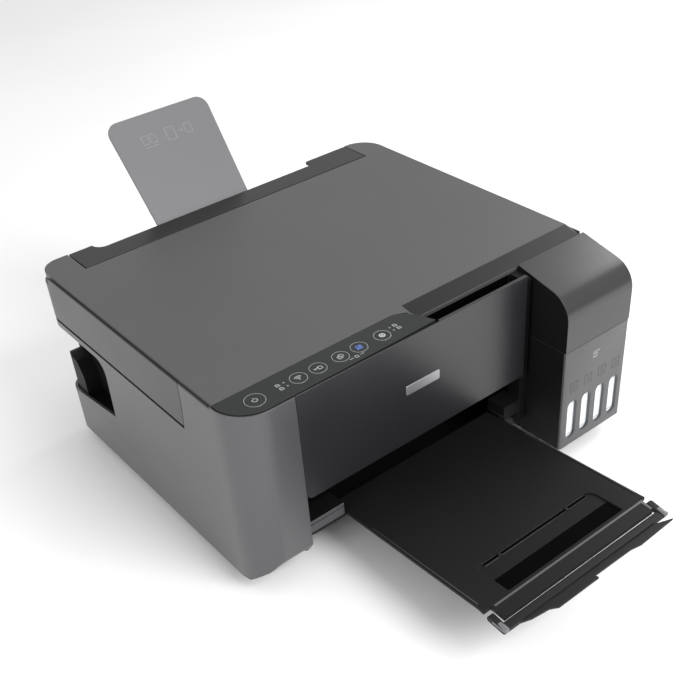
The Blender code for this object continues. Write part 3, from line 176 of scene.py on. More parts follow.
def plastic(name, color, roughness, grain=0.7, depth=0.008, edge=0.6, specular=0.5,
            stretch=(1, 1, 1)):
    """Moulded plastic: a spark-eroded grain, slight clouding and softly rounded edges."""
    mottle = 0.02
    n = Nodes(name)
    cloud = n.span(n.noise(90, 1.0), 0, 1)
    speckle = n.span(n.noise(grain * 1.7, 1.0, stretch), 0, 1)
    tone = n.blend(cloud, scaled(color, 1 - mottle), scaled(color, 1 + mottle))
    fleck = n.add("ShaderNodeMix", data_type="RGBA", blend_type="MULTIPLY")
    fleck.inputs["Factor"].default_value = 0.12
    n.join(tone, fleck.inputs["A"])
    n.join(n.blend(speckle, (0.8, 0.8, 0.8), (1, 1, 1)), fleck.inputs["B"])
    n.join(fleck.outputs["Result"], n.shader.inputs["Base Color"])
    rough = n.span(n.noise(60, 1.0), roughness - 0.02, roughness + 0.02)
    n.join(rough, n.shader.inputs["Roughness"])
    soft = n.round_edges(edge)
    n.join(n.bump(n.noise(grain, 2.0, stretch), depth, 0.8, soft), n.shader.inputs["Normal"])
    n.shader.inputs["Specular IOR Level"].default_value = specular
    return n.material


def metal(name, color, roughness):
    """Sheet steel with fine rolling lines."""
    n = Nodes(name)
    lines = n.noise(0.8, 3.0, (1, 12, 1))
    n.join(n.blend(n.span(n.noise(25, 2.0), 0, 1), scaled(color, 0.88), color),
           n.shader.inputs["Base Color"])
    n.join(n.span(lines, roughness - 0.08, roughness + 0.1), n.shader.inputs["Roughness"])
    n.join(n.bump(lines, 0.01, 0.4, n.round_edges(0.3)), n.shader.inputs["Normal"])
    n.shader.inputs["Metallic"].default_value = 1.0
    return n.material


def tank_plastic():
    """Milky plastic of the tanks and tubes."""
    n = Nodes("tank_plastic")
    cloud = n.span(n.noise(14, 3.0), 0, 1)
    n.join(n.blend(cloud, (0.82, 0.86, 0.89), (0.87, 0.90, 0.93)), n.shader.inputs["Base Color"])
    n.join(n.span(n.noise(12, 2.0), 0.24, 0.30), n.shader.inputs["Roughness"])
    n.join(n.bump(n.noise(2.5, 1.0), 0.006, 0.4, n.round_edges(0.5)), n.shader.inputs["Normal"])
    n.shader.inputs["Subsurface Weight"].default_value = 0.3
    n.shader.inputs["Subsurface Radius"].default_value = (0.004, 0.004, 0.004)
    return n.material


def clear_glass():
    """Scanner glass with a faint green tint and a trace of smears."""
    n = Nodes("scanner_glass")
    smear = n.noise(30, 4.0)
    n.join(n.blend(n.span(smear, 0, 1), (0.86, 0.92, 0.90), (0.90, 0.95, 0.93)),
           n.shader.inputs["Base Color"])
    n.join(n.span(smear, 0.004, 0.015), n.shader.inputs["Roughness"])
    n.shader.inputs["Transmission Weight"].default_value = 0.95
    n.shader.inputs["IOR"].default_value = 1.45
    return n.material


def foam():
    """White foam sheet with open pores, with painted shade in the pores."""
    n = Nodes("foam")
    pores = n.add("ShaderNodeTexVoronoi")
    pores.inputs["Scale"].default_value = 1 / (0.9 * MM)
    n.join(n.place, pores.inputs["Vector"])
    # Painted shade: the foam is darker towards the middle of each pore, where the bump dips.
    shade = n.span(pores.outputs["Distance"], 0, 1)
    n.join(n.blend(shade, (0.68, 0.68, 0.66), (0.86, 0.86, 0.84)), n.shader.inputs["Base Color"])
    n.join(n.span(n.noise(12, 2.0), 0.8, 0.95), n.shader.inputs["Roughness"])
    n.join(n.bump(pores.outputs["Distance"], 0.12, 0.8), n.shader.inputs["Normal"])
    return n.material


def print_and_shade_ink(name, color, roughness=0.55):
    """Printed or inlaid marking, and dark lines of painted shade."""
    n = Nodes(name)
    n.join(n.blend(n.span(n.noise(0.8, 2.0), 0, 1), scaled(color, 0.85), color),
           n.shader.inputs["Base Color"])
    rough = n.span(n.noise(2, 1.0), roughness - 0.05, roughness + 0.05)
    n.join(rough, n.shader.inputs["Roughness"])
    return n.material


def circuit_board():
    """Green board with copper tracks under the mask."""
    n = Nodes("circuit_board")
    tracks = n.add("ShaderNodeTexBrick")
    tracks.inputs["Scale"].default_value = 90
    tracks.inputs["Color1"].default_value = (0.01, 0.11, 0.04, 1)
    tracks.inputs["Color2"].default_value = (0.012, 0.14, 0.05, 1)
    tracks.inputs["Mortar"].default_value = (0.03, 0.22, 0.08, 1)
    n.join(n.place, tracks.inputs["Vector"])
    n.join(tracks.outputs["Color"], n.shader.inputs["Base Color"])
    n.join(n.span(n.noise(4, 2.0), 0.3, 0.45), n.shader.inputs["Roughness"])
    n.join(n.bump(tracks.outputs["Fac"], 0.04, 0.5), n.shader.inputs["Normal"])
    return n.material


BODY = plastic("body_plastic", (0.054, 0.054, 0.058), 0.32, specular=0.75)
LID = plastic("lid_plastic", (0.068, 0.068, 0.0695), 0.46, grain=0.9, depth=0.012)
# Painted shade for the cover's front bevel, which slopes away from the light.
LID_EDGE_SHADE = plastic("lid_edge_painted_shade", (0.008, 0.008, 0.009), 0.45, specular=0.3)
SCANNER = plastic("scanner_plastic", (0.036, 0.036, 0.038), 0.36, specular=0.6)
PANEL = plastic("front_panel_plastic", (0.011, 0.011, 0.013), 0.31, grain=0.4, depth=0.003,
                stretch=(0.25, 1, 1), specular=0.7)
CONTROL = plastic("control_panel_plastic", (0.016, 0.0175, 0.017), 0.36, grain=0.4, depth=0.004,
                  specular=0.3)
HOOD = plastic("hood_plastic", (0.017, 0.017, 0.0185), 0.26, grain=0.5, depth=0.004, specular=0.7)
GUARD = plastic("guard_plastic", (0.009, 0.009, 0.0095), 0.36, grain=0.5, depth=0.004)
TANK_CASE = plastic("tank_case_plastic", (0.066, 0.066, 0.069), 0.38, specular=0.6)
# Painted shade: near-black colour for faces that lie in shade, such as the ink tank unit's left
# sides, the front lip's top and groove and the grip's hollow.
PAINTED_SHADE = plastic("painted_shade_plastic", (0.0045, 0.0045, 0.0048), 0.5, specular=0.2)
DARK = plastic("dark_plastic", (0.007, 0.007, 0.008), 0.5, specular=0.22)
TRAY = plastic("tray_plastic", (0.0065, 0.0065, 0.0072), 0.55, specular=0.16)
# Painted highlight: lighter grey along the tray's edges and the slot's rim for the light they
# catch.
TRAY_EDGE_HIGHLIGHT = plastic("tray_edge_highlight_plastic", (0.030, 0.030, 0.032), 0.35, edge=0.3)
# Painted highlight: the glossy front bar of the tray is lightened for the light it catches.
FRONT_BAR_HIGHLIGHT = plastic("front_bar_highlight_plastic", (0.060, 0.060, 0.062), 0.30, edge=0.3, specular=0.7)
# Painted shade: near-black colour standing for the shade in recesses, slots and holes.
RECESS_SHADE = plastic("recess_painted_shade", (0.001, 0.001, 0.001), 0.8, specular=0.03)
GREY = plastic("grey_plastic", (0.128, 0.128, 0.135), 0.46)
BRACKET = plastic("bracket_plastic", (0.12, 0.12, 0.13), 0.35)
WHITE = foam()
RESIN = plastic("gear_resin", (0.70, 0.69, 0.64), 0.4, grain=0.5)
TANK = tank_plastic()
GLASS = clear_glass()
STEEL = metal("steel", (0.58, 0.58, 0.60), 0.32)
RUBBER = plastic("rubber", (0.018, 0.018, 0.018), 0.85, grain=0.5, depth=0.05, specular=0.25)
MARK = print_and_shade_ink("mark_light", (0.42, 0.43, 0.44))
MARK_DIM = print_and_shade_ink("mark_dim", (0.20, 0.21, 0.21))
MARK_BRIGHT = print_and_shade_ink("mark_bright", (0.80, 0.81, 0.82), 0.35)
BADGE = metal("badge_metal", (0.62, 0.62, 0.64), 0.34)
MARK_BLUE = print_and_shade_ink("mark_blue", (0.12, 0.20, 0.55))
# Dark print, and painted shade for small recesses such as engraved squares and screw crosses.
DARK_PRINT_AND_SHADE = print_and_shade_ink("dark_print_and_painted_shade", (0.012, 0.012, 0.013))
BOARD = circuit_board()

SLOT_MATERIALS = {"body": BODY, "lid": LID, "panel": PANEL, "dark": DARK, "grey": GREY,
                  "white": WHITE, "tank": TANK, "glass": GLASS, "steel": STEEL, "rubber": RUBBER}
# front_lip and grip_housing take painted shade: the lip's top, the groove between its face strips
# and the grip's hollow lie in shade.
NODE_MATERIALS = {"control_panel": CONTROL, "tank_cover": HOOD, "tank_housing": TANK_CASE,
                  "output_tray": TRAY, "feeder_guard": GUARD, "scanner_base": SCANNER,
                  # The paper_stopper's dark flap past the tray's front stands partly for the tray's
                  # cast shadow on the floor, so its near-black colour is partly painted shadow.
                  "front_lip": PAINTED_SHADE, "paper_stopper": DARK, "grip_housing": PAINTED_SHADE}


# ---------------------------------------------------------------- CAD nodes

def smoothing_group():
    """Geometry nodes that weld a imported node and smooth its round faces."""
    group = bpy.data.node_groups.new("smooth_round_faces", "GeometryNodeTree")
    group.interface.new_socket("Geometry", in_out="INPUT", socket_type="NodeSocketGeometry")
    group.interface.new_socket("Geometry", in_out="OUTPUT", socket_type="NodeSocketGeometry")
    start = group.nodes.new("NodeGroupInput")
    end = group.nodes.new("NodeGroupOutput")
    weld = group.nodes.new("GeometryNodeMergeByDistance")
    weld.inputs["Distance"].default_value = 0.01 * MM
    plain = group.nodes.new("GeometryNodeRemoveAttribute")
    plain.inputs["Name"].default_value = "custom_normal"
    smooth = group.nodes.new("GeometryNodeSetShadeSmooth")
    edges = group.nodes.new("GeometryNodeSetShadeSmooth")
    edges.domain = "EDGE"
    edges.inputs["Shade Smooth"].default_value = False
    angle = group.nodes.new("GeometryNodeInputMeshEdgeAngle")
    sharp = group.nodes.new("FunctionNodeCompare")
    sharp.operation = "GREATER_THAN"
    sharp.inputs["B"].default_value = math.radians(32)
    group.links.new(start.outputs[0], weld.inputs["Geometry"])
    group.links.new(weld.outputs["Geometry"], plain.inputs["Geometry"])
    group.links.new(plain.outputs["Geometry"], smooth.inputs["Geometry"])
    group.links.new(smooth.outputs["Geometry"], edges.inputs["Geometry"])
    group.links.new(angle.outputs["Unsigned Angle"], sharp.inputs["A"])
    group.links.new(sharp.outputs["Result"], edges.inputs["Selection"])
    group.links.new(edges.outputs["Geometry"], end.inputs[0])
    return group


def dress_nodes():
    """Give every CAD node its material and smooth shading."""
    group = smoothing_group()
    for part in frame["record"]["subparts"]:
        node = NODES[part["node"]]
        finish = NODE_MATERIALS.get(part["node"], SLOT_MATERIALS[part["material_slot"]])
        if part["node"].endswith(("_gear", "_pinion")):
            finish = RESIN
        for slot in node.material_slots:
            slot.material = finish
        smooth = node.modifiers.new("smooth", "NODES")
        smooth.node_group = group


# ---------------------------------------------------------------- shapes for pieces

def finish_piece(name, bm, material):
    """Turn a bmesh into a piece with one material."""
    mesh = bpy.data.meshes.new(name)
    bmesh.ops.recalc_face_normals(bm, faces=bm.faces)
    bm.to_mesh(mesh)
    bm.free()
    mesh.materials.append(material)
    piece = bpy.data.objects.new(name, mesh)
    bpy.context.scene.collection.objects.link(piece)
    return piece


def put(piece, place, body, turn=(0, 0, 0)):
    """Set a piece at a machine position, turned by angles in radians, on a body."""
    piece.location = at(*place)
    piece.rotation_euler = turn
    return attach(piece, body)


def circle(radius, cx=0.0, cy=0.0, start=0, end=360, steps=32):
    """Points on an arc in millimetres, angles in degrees."""
    points = []
    for i in range(steps + 1):
        angle = math.radians(start + (end - start) * i / steps)
        points.append((cx + radius * math.cos(angle), cy + radius * math.sin(angle)))
    return points


def rectangle(width, height, cx=0.0, cy=0.0):
    """A closed rectangle in millimetres."""
    w, h = width / 2, height / 2
    return [(cx - w, cy - h), (cx + w, cy - h), (cx + w, cy + h), (cx - w, cy + h),
            (cx - w, cy - h)]


def stroke(bm, line, width, height):
    """A raised band along a line in the XY plane; a line that ends where it starts is closed."""
    sharpest = 0.4      # limits how far the band reaches out at a sharp corner
    closed = math.dist(line[0], line[-1]) < FLAT
    points = [Vector(p) for p in (line[:-1] if closed else line)]
    rings = []
    for i, point in enumerate(points):
        before = points[i - 1] if closed or i > 0 else point
        after = points[(i + 1) % len(points)] if closed or i + 1 < len(points) else point
        along = (after - before).normalized()
        if closed or 0 < i < len(points) - 1:
            first = (point - before).normalized()
            turn = max(along.dot(first), sharpest)
        else:
            turn = 1
        side = Vector((-along.y, along.x)) * (width / 2 / turn)
        corners = [(point - side, 0), (point + side, 0),
                   (point + side, height), (point - side, height)]
        rings.append([bm.verts.new((v.x * MM, v.y * MM, h * MM)) for v, h in corners])
    pairs = list(zip(rings, rings[1:]))
    if closed:
        pairs.append((rings[-1], rings[0]))
    for a, b in pairs:
        for i in range(4):
            j = (i + 1) % 4
            bm.faces.new((a[i], a[j], b[j], b[i]))
    if not closed:
        bm.faces.new(rings[0])
        bm.faces.new(rings[-1])


def filled(bm, outline, height):
    """A flat plate with a closed outline, in millimetres, standing on the XY plane."""
    points = outline[:-1] if math.dist(outline[0], outline[-1]) < FLAT else outline
    bottom = [bm.verts.new((x * MM, y * MM, 0)) for x, y in points]
    top = [bm.verts.new((x * MM, y * MM, height * MM)) for x, y in points]
    bm.faces.new(bottom[::-1])
    bm.faces.new(top)
    for i in range(len(points)):
        j = (i + 1) % len(points)
        bm.faces.new((bottom[i], bottom[j], top[j], top[i]))


def marking(name, lines, material, width=0.45, height=0.08, solid=()):
    """Printed or raised line work: lines are drawn as bands and solid outlines are filled."""
    bm = bmesh.new()
    for line in lines:
        stroke(bm, line, width, height)
    for outline in solid:
        filled(bm, outline, height)
    return finish_piece(name, bm, material)


def block(name, size, material, rounding=0.4):
    """A box with rounded edges, centred on its own origin."""
    bm = bmesh.new()
    bmesh.ops.create_cube(bm, size=1.0)
    bmesh.ops.scale(bm, vec=Vector(size) * MM, verts=bm.verts)
    bmesh.ops.bevel(bm, geom=bm.edges, offset=rounding * MM, segments=3, profile=0.5,
                    affect="EDGES")
    piece = finish_piece(name, bm, material)
    piece.data.shade_smooth()
    piece.data.set_sharp_from_angle(angle=math.radians(40))
    return piece


def plate(name, outline, thickness, material, rounding=0.3):
    """A flat plate of any outline with rounded rims, its underside at its own origin."""
    bm = bmesh.new()
    filled(bm, outline, thickness)
    piece = finish_piece(name, bm, material)
    if rounding:
        rim = piece.modifiers.new("rim", "BEVEL")
        rim.width = rounding * MM
        rim.segments = 2
        rim.limit_method = "ANGLE"
        rim.angle_limit = math.radians(40)
    return piece


def turned(name, profile, material, sides=32):
    """A turned piece about its own Z from (radius, height) pairs that start and end on the axis."""
    bm = bmesh.new()
    rings = []
    for radius, height in profile:
        if radius < FLAT:
            rings.append([bm.verts.new((0, 0, height * MM))])
            continue
        turns = [2 * math.pi * i / sides for i in range(sides)]
        rings.append([bm.verts.new((radius * MM * math.cos(a), radius * MM * math.sin(a),
                                    height * MM)) for a in turns])
    for a, b in zip(rings, rings[1:]):
        for i in range(sides):
            j = (i + 1) % sides
            face = [a[i % len(a)], a[j % len(a)], b[j % len(b)], b[i % len(b)]]
            bm.faces.new(list(dict.fromkeys(face)))
    piece = finish_piece(name, bm, material)
    piece.data.shade_smooth()
    piece.data.set_sharp_from_angle(angle=math.radians(35))
    return piece


# A drawing's XY plane turned to face one way
FACE_FRONT = (math.pi / 2, 0, 0)
FACE_REAR = (math.pi / 2, 0, math.pi)
FACE_LEFT = (math.pi / 2, 0, -math.pi / 2)


def side_outline(node, x, reach=0.5):
    """Convex outline in (y, z) of the corners of a node that lie near a machine x."""
    points = set()
    for vertex in NODES[node].data.vertices:
        corner = machine(NODES[node].matrix_world @ vertex.co)
        if abs(corner.x - x) < reach:
            points.add((round(corner.y, 3), round(corner.z, 3)))
    hull = []
    for sweep in (sorted(points), sorted(points, reverse=True)):
        line = []
        for p in sweep:
            while len(line) > 1 and ((line[-1][0] - line[-2][0]) * (p[1] - line[-2][1])
                                     - (line[-1][1] - line[-2][1]) * (p[0] - line[-2][0])) <= 0:
                line.pop()
            line.append(p)
        hull += line[:-1]
    return hull


def side_shade_skin(name, node, body, x, material):
    """Thin skin of painted shade on the left face of a node: its outline is drawn in (-y, z)."""
    outline = [(-y, z) for y, z in side_outline(node, x)]
    skin = plate(name, outline, 0.08, material, 0)
    put(skin, (x, 0, 0), body, FACE_LEFT)


# ---------------------------------------------------------------- control panel

def power_icon():
    return [circle(2.0, 0, 0, 125, 415, 20), [(0, 0.7), (0, 2.9)]]


def wireless_icon():
    arcs = [circle(r, 0, -1.9, 45, 135, 8) for r in (1.5, 2.9, 4.3)]
    return arcs + [circle(0.25, 0, -1.9, steps=8)]


def sheet(cx, cy, size=3.2):
    """A sheet of paper with a folded corner."""
    s = size / 2
    return [(cx - s, cy - s), (cx + s, cy - s), (cx + s, cy + s * 0.4), (cx + s * 0.4, cy + s),
            (cx - s, cy + s), (cx - s, cy - s)]


def status_icon():
    return [sheet(1.6, -0.4)] + [circle(r, -2.4, -1.6, 45, 135, 6) for r in (1.0, 2.1)]


def copy_icon():
    return [sheet(-0.9, -0.7), sheet(1.0, 0.8)]


def stop_icon():
    return [circle(2.2, steps=20), [(-0.9, -0.9), (0.9, 0.9)], [(-0.9, 0.9), (0.9, -0.9)]]


BUTTON_ICONS = {
    "power": (power_icon, MARK), "wireless": (wireless_icon, MARK),
    "network_status": (status_icon, MARK), "copy_mono": (copy_icon, MARK),
    "copy_color": (copy_icon, MARK_BLUE), "stop": (stop_icon, MARK_BRIGHT)}


def button_faces():
    """A ring and an icon on each button, which move with it."""
    for name, (icon, mark) in BUTTON_ICONS.items():
        low, high = limits("button_" + name)
        centre = (low + high) / 2
        radius = (high.x - low.x) / 2
        top = (centre.x, centre.y, high.z)
        ring = marking("ring_" + name, [circle(radius - 0.5, steps=48)], MARK_DIM,
                       width=0.7 if name == "stop" else 0.6)
        put(ring, top, "key_" + name)
        fill = [circle(2.9, steps=24)] if name == "copy_color" else ()
        drawing = marking("icon_" + name, icon(), mark, width=0.5, solid=fill)
        put(drawing, top, "key_" + name)
        inner = radius - 0.9
        dish = turned("dish_" + name, [(0, 0), (inner, 0.01), (inner, 0.03), (0, 0.02)],
                      CONTROL, 48)
        put(dish, top, "key_" + name)


def panel_markings():
    """Small status symbols and lamps beside the buttons."""
    top = limits("control_panel")[1].z
    beside = 5.2
    places = {"wireless_a": (50.0, 56.4, beside), "wireless_b": (50.2, 51.2, beside),
              "sheet_lamp": (161.5, 57.6, -beside), "ink_lamp": (161.9, 52.8, -beside)}
    for name, (x, y, lamp_x) in places.items():
        symbol = marking("symbol_" + name, [sheet(0, 0, 2.8), [(-0.7, 0), (0.7, 0)]], MARK,
                         width=0.4)
        put(symbol, (x, y, top), "base")
        lamp = marking("lamp_" + name, [], MARK_DIM, solid=[circle(0.85, steps=16)])
        put(lamp, (x + lamp_x, y, top), "base")
    bracket = marking("copy_bracket", [[(-6.5, 1.0), (-6.0, 0), (-3.2, 0)],
                                       [(3.2, 0), (6.0, 0), (6.5, 1.0)], sheet(0, 0, 2.6)],
                      MARK, width=0.4)
    put(bracket, (114.4, 45.2, top), "base")


# ---------------------------------------------------------------- front

def front_badge():
    """Blank raised badge in the middle of the front panel."""
    face = limits("front_panel")[0].y
    outline = []
    radius = 1.4
    across, up = 17.5 - radius, 4.4 - radius
    corners = ((across, up, 0), (-across, up, 90), (-across, -up, 180), (across, -up, 270))
    for cx, cy, start in corners:
        outline += circle(radius, cx, cy, start, start + 90, 5)
    badge = plate("front_badge", outline, 0.35, BADGE, 0.12)
    put(badge, (171.0, face, 130.8), "base", FACE_FRONT)


def lip_details():
    """Two face strips left of the tray, with a groove between them where the lip's painted shade
    shows, and the tray's side rails.
    """
    face = limits("front_lip")[0].y
    lower = circle(3.5, 50, 46.5, 180, 270, 6) + [(86, 43), (86, 50.2), (46.5, 50.2)]
    upper = [(46.6, 51.2), (86, 51.2), (86, 54.6), (49.5, 54.6)]
    upper += circle(2.5, 49.3, 52.1, 90, 180, 4)
    for name, outline in (("lower", lower), ("upper", upper)):
        strip = plate("lip_face_" + name, outline, 0.4, BODY, 0.15)
        put(strip, (0, face, 0), "base", FACE_FRONT)
    for x in (87.6, 265.6):
        rail = block("tray_rail_%d" % x, (1.6, 17, 3), DARK, 0.4)
        put(rail, (x, 50, 43.5), "base")


def lid_edge_strip():
    """Darker strip of painted shade along the cover's bevelled front edge, right of its swoosh,
    where the bevel slopes away from the light.
    """
    forward, down = 4.4, 16.4      # how far the bevel runs forward and down
    slant = math.radians(-90) + math.atan2(down, forward)
    reach = math.hypot(down, forward)
    outline = [(0, 0), (187.6, 0), (187.6, reach - 1.6), (186, reach - 0.4), (5.2, reach - 0.4),
               (2.4, reach - 2.5), (0.6, reach * 0.6)]
    strip = plate("lid_edge_strip", [(x, -y) for x, y in outline], 0.06, LID_EDGE_SHADE, 0)
    put(strip, (184.0, 75, 179.0), "cover", (-slant, 0, 0))


def finger_hollow():
    """Painted shade: matt black sheets lining the finger hollow below the cover's front edge, where
    shade falls.
    """
    wall_y = limits("scanner_base")[0].y
    back_y = limits("front_panel")[0].y + 3
    shade_linings = (("hollow_floor", 94.5, 16.6, (191.2, 40.6, 158.5), "base", (0, 0, 0)),
               ("hollow_wall", 97, 11.4, (190.0, wall_y, 158.9), "scanner_unit", FACE_FRONT),
               ("panel_back", 94, 18.5, (285.6, back_y, 159.2), "base", FACE_REAR))
    for name, width, height, place, body, turn in shade_linings:
        outline = [(0, 0), (width, 0), (width, height), (0, height)]
        put(plate(name, outline, SKIN, RECESS_SHADE, 0), place, body, turn)


# ---------------------------------------------------------------- ink tank unit

def tank_markings():
    """Painted shade on the left sides, squares with a drop drawn in dark lines of painted shade for
    their engraving, a label without text and level marks.
    """
    low = limits("tank_housing")[0]
    square_z = 76
    side_shade_skin("housing_side_shade", "tank_housing", "base", low.x, PAINTED_SHADE)
    side_shade_skin("hood_side_shade", "tank_cover", "tank_lid", low.x, PAINTED_SHADE)
    for i in range(TANKS):
        # Painted shade: the engraved squares and drops are drawn as dark lines for the shade in
        # their grooves.
        square = marking("tank_square_%d" % (i + 1), [rectangle(9.0, 9.0)], DARK_PRINT_AND_SHADE,
                         0.5, 0.03)
        put(square, (tank_x(i), low.y, square_z), "base", FACE_FRONT)
        drop = circle(1.6, 0, -0.8, 150, 390, 14)
        drop += [(0, 2.9), drop[0]]
        symbol = marking("tank_drop_%d" % (i + 1), [drop], DARK_PRINT_AND_SHADE, 0.35, 0.03)
        put(symbol, (tank_x(i), low.y, square_z), "base", FACE_FRONT)
    label = marking("tank_label", [[(-4.5, 1.9), (4.5, 1.9)], rectangle(4.2, 3.4, -1.2, -1.8)],
                    MARK, 0.6, 0.05)
    put(label, (335.3, low.y, 98.7), "base", FACE_FRONT)
    tank_y = limits("ink_tanks")[0].y
    levels = [[(-3.5, z), (3.5, z)] for z in (36, 2)]      # full and empty, above z 21
    for i in range(TANKS):
        marks = marking("level_marks_%d" % (i + 1), levels, MARK_DIM, 0.5, 0.03)
        put(marks, (tank_x(i), tank_y, 21), "base", FACE_FRONT)


def ink_collars():
    """Coloured collar at each filler neck and a coloured button on its cap."""
    deck = limits("filler_deck")[0].z + 2.6
    ring = [(5.7, 0), (7.6, 0), (7.6, 0.8), (7.2, 1.1), (5.9, 1.1), (5.7, 0.9), (5.7, 0)]
    disc = [(0, 0), (4.6, 0), (4.6, 0.35), (4.2, 0.55), (0, 0.55)]
    for i, (name, color) in enumerate(INK_COLORS.items()):
        tone = plastic("ink_" + name, color, 0.35)
        put(turned("collar_" + name, ring, tone), (tank_x(i), 26, deck), "base")
        top = limits("tank_cap_%d" % (i + 1))[1].z
        dot = turned("cap_dot_" + name, disc, tone)
        put(dot, (tank_x(i), 24, top), "cap_%d" % (i + 1))


# ---------------------------------------------------------------- output tray

def tray_details():
    """Slot, tabs, band and front bar of the stopper's seat, with painted shade in the slot and
    band, a painted highlight on the front bar and painted highlights along the tray's side edges.
    """
    ref_y, ref_z = 45, 42      # a point on the tray's face
    seat_left, seat_right = 116, 241

    def on_tray(y, lift):
        """Machine z of a place at y, lifted off the tray's face."""
        return ref_z + (ref_y - y) * math.tan(-TRAY_TILT) + lift

    tilt = (TRAY_TILT, 0, 0)
    seat_x = (seat_left + seat_right) / 2
    seat_width = seat_right - seat_left
    sunk = -1.15      # the seat's floor lies below the tray's face
    slot_y, band_y, edge_y = -80.2, -104.6, -48
    # Painted shade: the slot and the band on the sunken seat floor are coloured black for the shade
    # in them.
    slot = plate("tray_slot", rectangle(seat_width - 14, 2.2), 0.25, RECESS_SHADE, 0)
    put(slot, (seat_x, slot_y, on_tray(slot_y, sunk)), "tray", tilt)
    for x in (139, 212):
        tab = block("tray_tab_%d" % x, (2.6, 4.6, 1.0), DARK, 0.25)
        put(tab, (x, slot_y, on_tray(slot_y, -0.6)), "tray", tilt)
    rim = marking("tray_slot_rim", [rectangle(seat_width - 12.6, 3.6)], TRAY_EDGE_HIGHLIGHT, 0.4, 0.3)
    put(rim, (seat_x, slot_y, on_tray(slot_y, sunk)), "tray", tilt)
    band = plate("tray_band", rectangle(seat_width - 1, 15.5), 0.12, RECESS_SHADE, 0)
    put(band, (seat_x, band_y, on_tray(band_y, sunk)), "tray", tilt)
    # Painted highlight: the front bar is a lighter strip for the light on the glossy bar.
    front = plate("tray_front_strip", rectangle(161, 11), 0.5, FRONT_BAR_HIGHLIGHT, 0.2)
    put(front, (179, -120.2, on_tray(-114, -1.0)), "tray", (math.radians(6.1), 0, 0))
    # Painted highlights along the tray's side edges.
    for side, x in (("left", 90.6), ("right", 262.4)):
        edge = block("tray_edge_" + side, (1.0, 118, 0.8), TRAY_EDGE_HIGHLIGHT, 0.3)
        put(edge, (x, edge_y, on_tray(edge_y, 0.3)), "tray", tilt)


def stopper_details():
    """End brackets of the stopper."""
    for side, x in (("left", 90.2), ("right", 262.8)):
        bracket = block("stopper_bracket_" + side, (4.6, 14.0, 3.4), BRACKET, 1.1)
        put(bracket, (x, -130.0, 49.4), "stopper", (math.radians(2), 0, 0))


# ---------------------------------------------------------------- paper support and feeder

def support_marks():
    """Printed symbols near the top of the paper support and three ribs below them."""
    tilt = (FEED_TILT, 0, 0)
    normal = Vector((0, -math.sin(FEED_TILT), math.cos(FEED_TILT)))
    along = Vector((0, math.cos(FEED_TILT), math.sin(FEED_TILT)))
    face = middle("paper_support") + normal * 1.1      # 1.1 is half the sheet's thickness
    symbols = {"stack": [sheet(-22, 38, 8), sheet(-15.5, 38, 8), [(-26, 31), (-12, 31)]],
               "portrait": [rectangle(9, 12, 4, 37), [(12, 37), (17, 37)],
                            [(15, 39), (17, 37), (15, 35)], rectangle(7, 9, 23, 37)]}
    for name, lines in symbols.items():
        drawing = marking("support_" + name, lines, MARK_DIM, 0.7, 0.05)
        put(drawing, face, "support", tilt)
    lines = [[(-40, -40 + 6 * i), (40, -40 + 6 * i)] for i in range(3)]
    ribs = marking("support_ribs", lines, GREY, 1.2, 0.3)
    put(ribs, face - along * 20, "support", tilt)


# ---------------------------------------------------------------- scanner

def scanner_frame():
    """Dark printed border on the scanner glass, with a white scale and corner mark on it."""
    low, high = limits("scanner_glass")
    centre = (low + high) / 2
    width = high.x - low.x
    depth = high.y - low.y
    wide, thick = 5, 0.06
    border = marking("glass_border", [rectangle(width - wide, depth - wide)], DARK_PRINT_AND_SHADE,
                     wide, thick)
    put(border, (centre.x, centre.y, high.z), "scanner_unit")
    ticks = []
    for i in range(28):
        x = low.x - centre.x + 12 + 10 * i
        ticks.append([(x, 0), (x, 3.4 if i % 5 == 0 else 2.2)])
    scale = marking("glass_scale", ticks, MARK_BRIGHT, 0.3, 0.04)
    put(scale, (centre.x, high.y - 4.4, high.z + thick), "scanner_unit")
    corner = marking("glass_corner", [], MARK_BRIGHT, solid=[[(0, 0), (4, 0), (0, -4)]])
    put(corner, (low.x + 1, high.y - 1, high.z + thick), "scanner_unit")


def screw(name, place):
    """Cross-head screw on the rear: a domed head with a raised cross of painted shade for the
    recessed cross.
    """
    head = turned(name, [(0, 0), (2.9, 0), (2.9, 0.5), (2.2, 1.0), (0, 1.25)], STEEL, 20)
    put(head, place, "base", FACE_REAR)
    cross = marking(name + "_cross", [[(-1.3, 0), (1.3, 0)], [(0, -1.3), (0, 1.3)]], DARK_PRINT_AND_SHADE,
                    0.5, 0.05)
    lift = Euler(FACE_REAR).to_matrix() @ Vector((0, 0, 1.24))
    put(cross, Vector(place) + lift, "base", FACE_REAR)


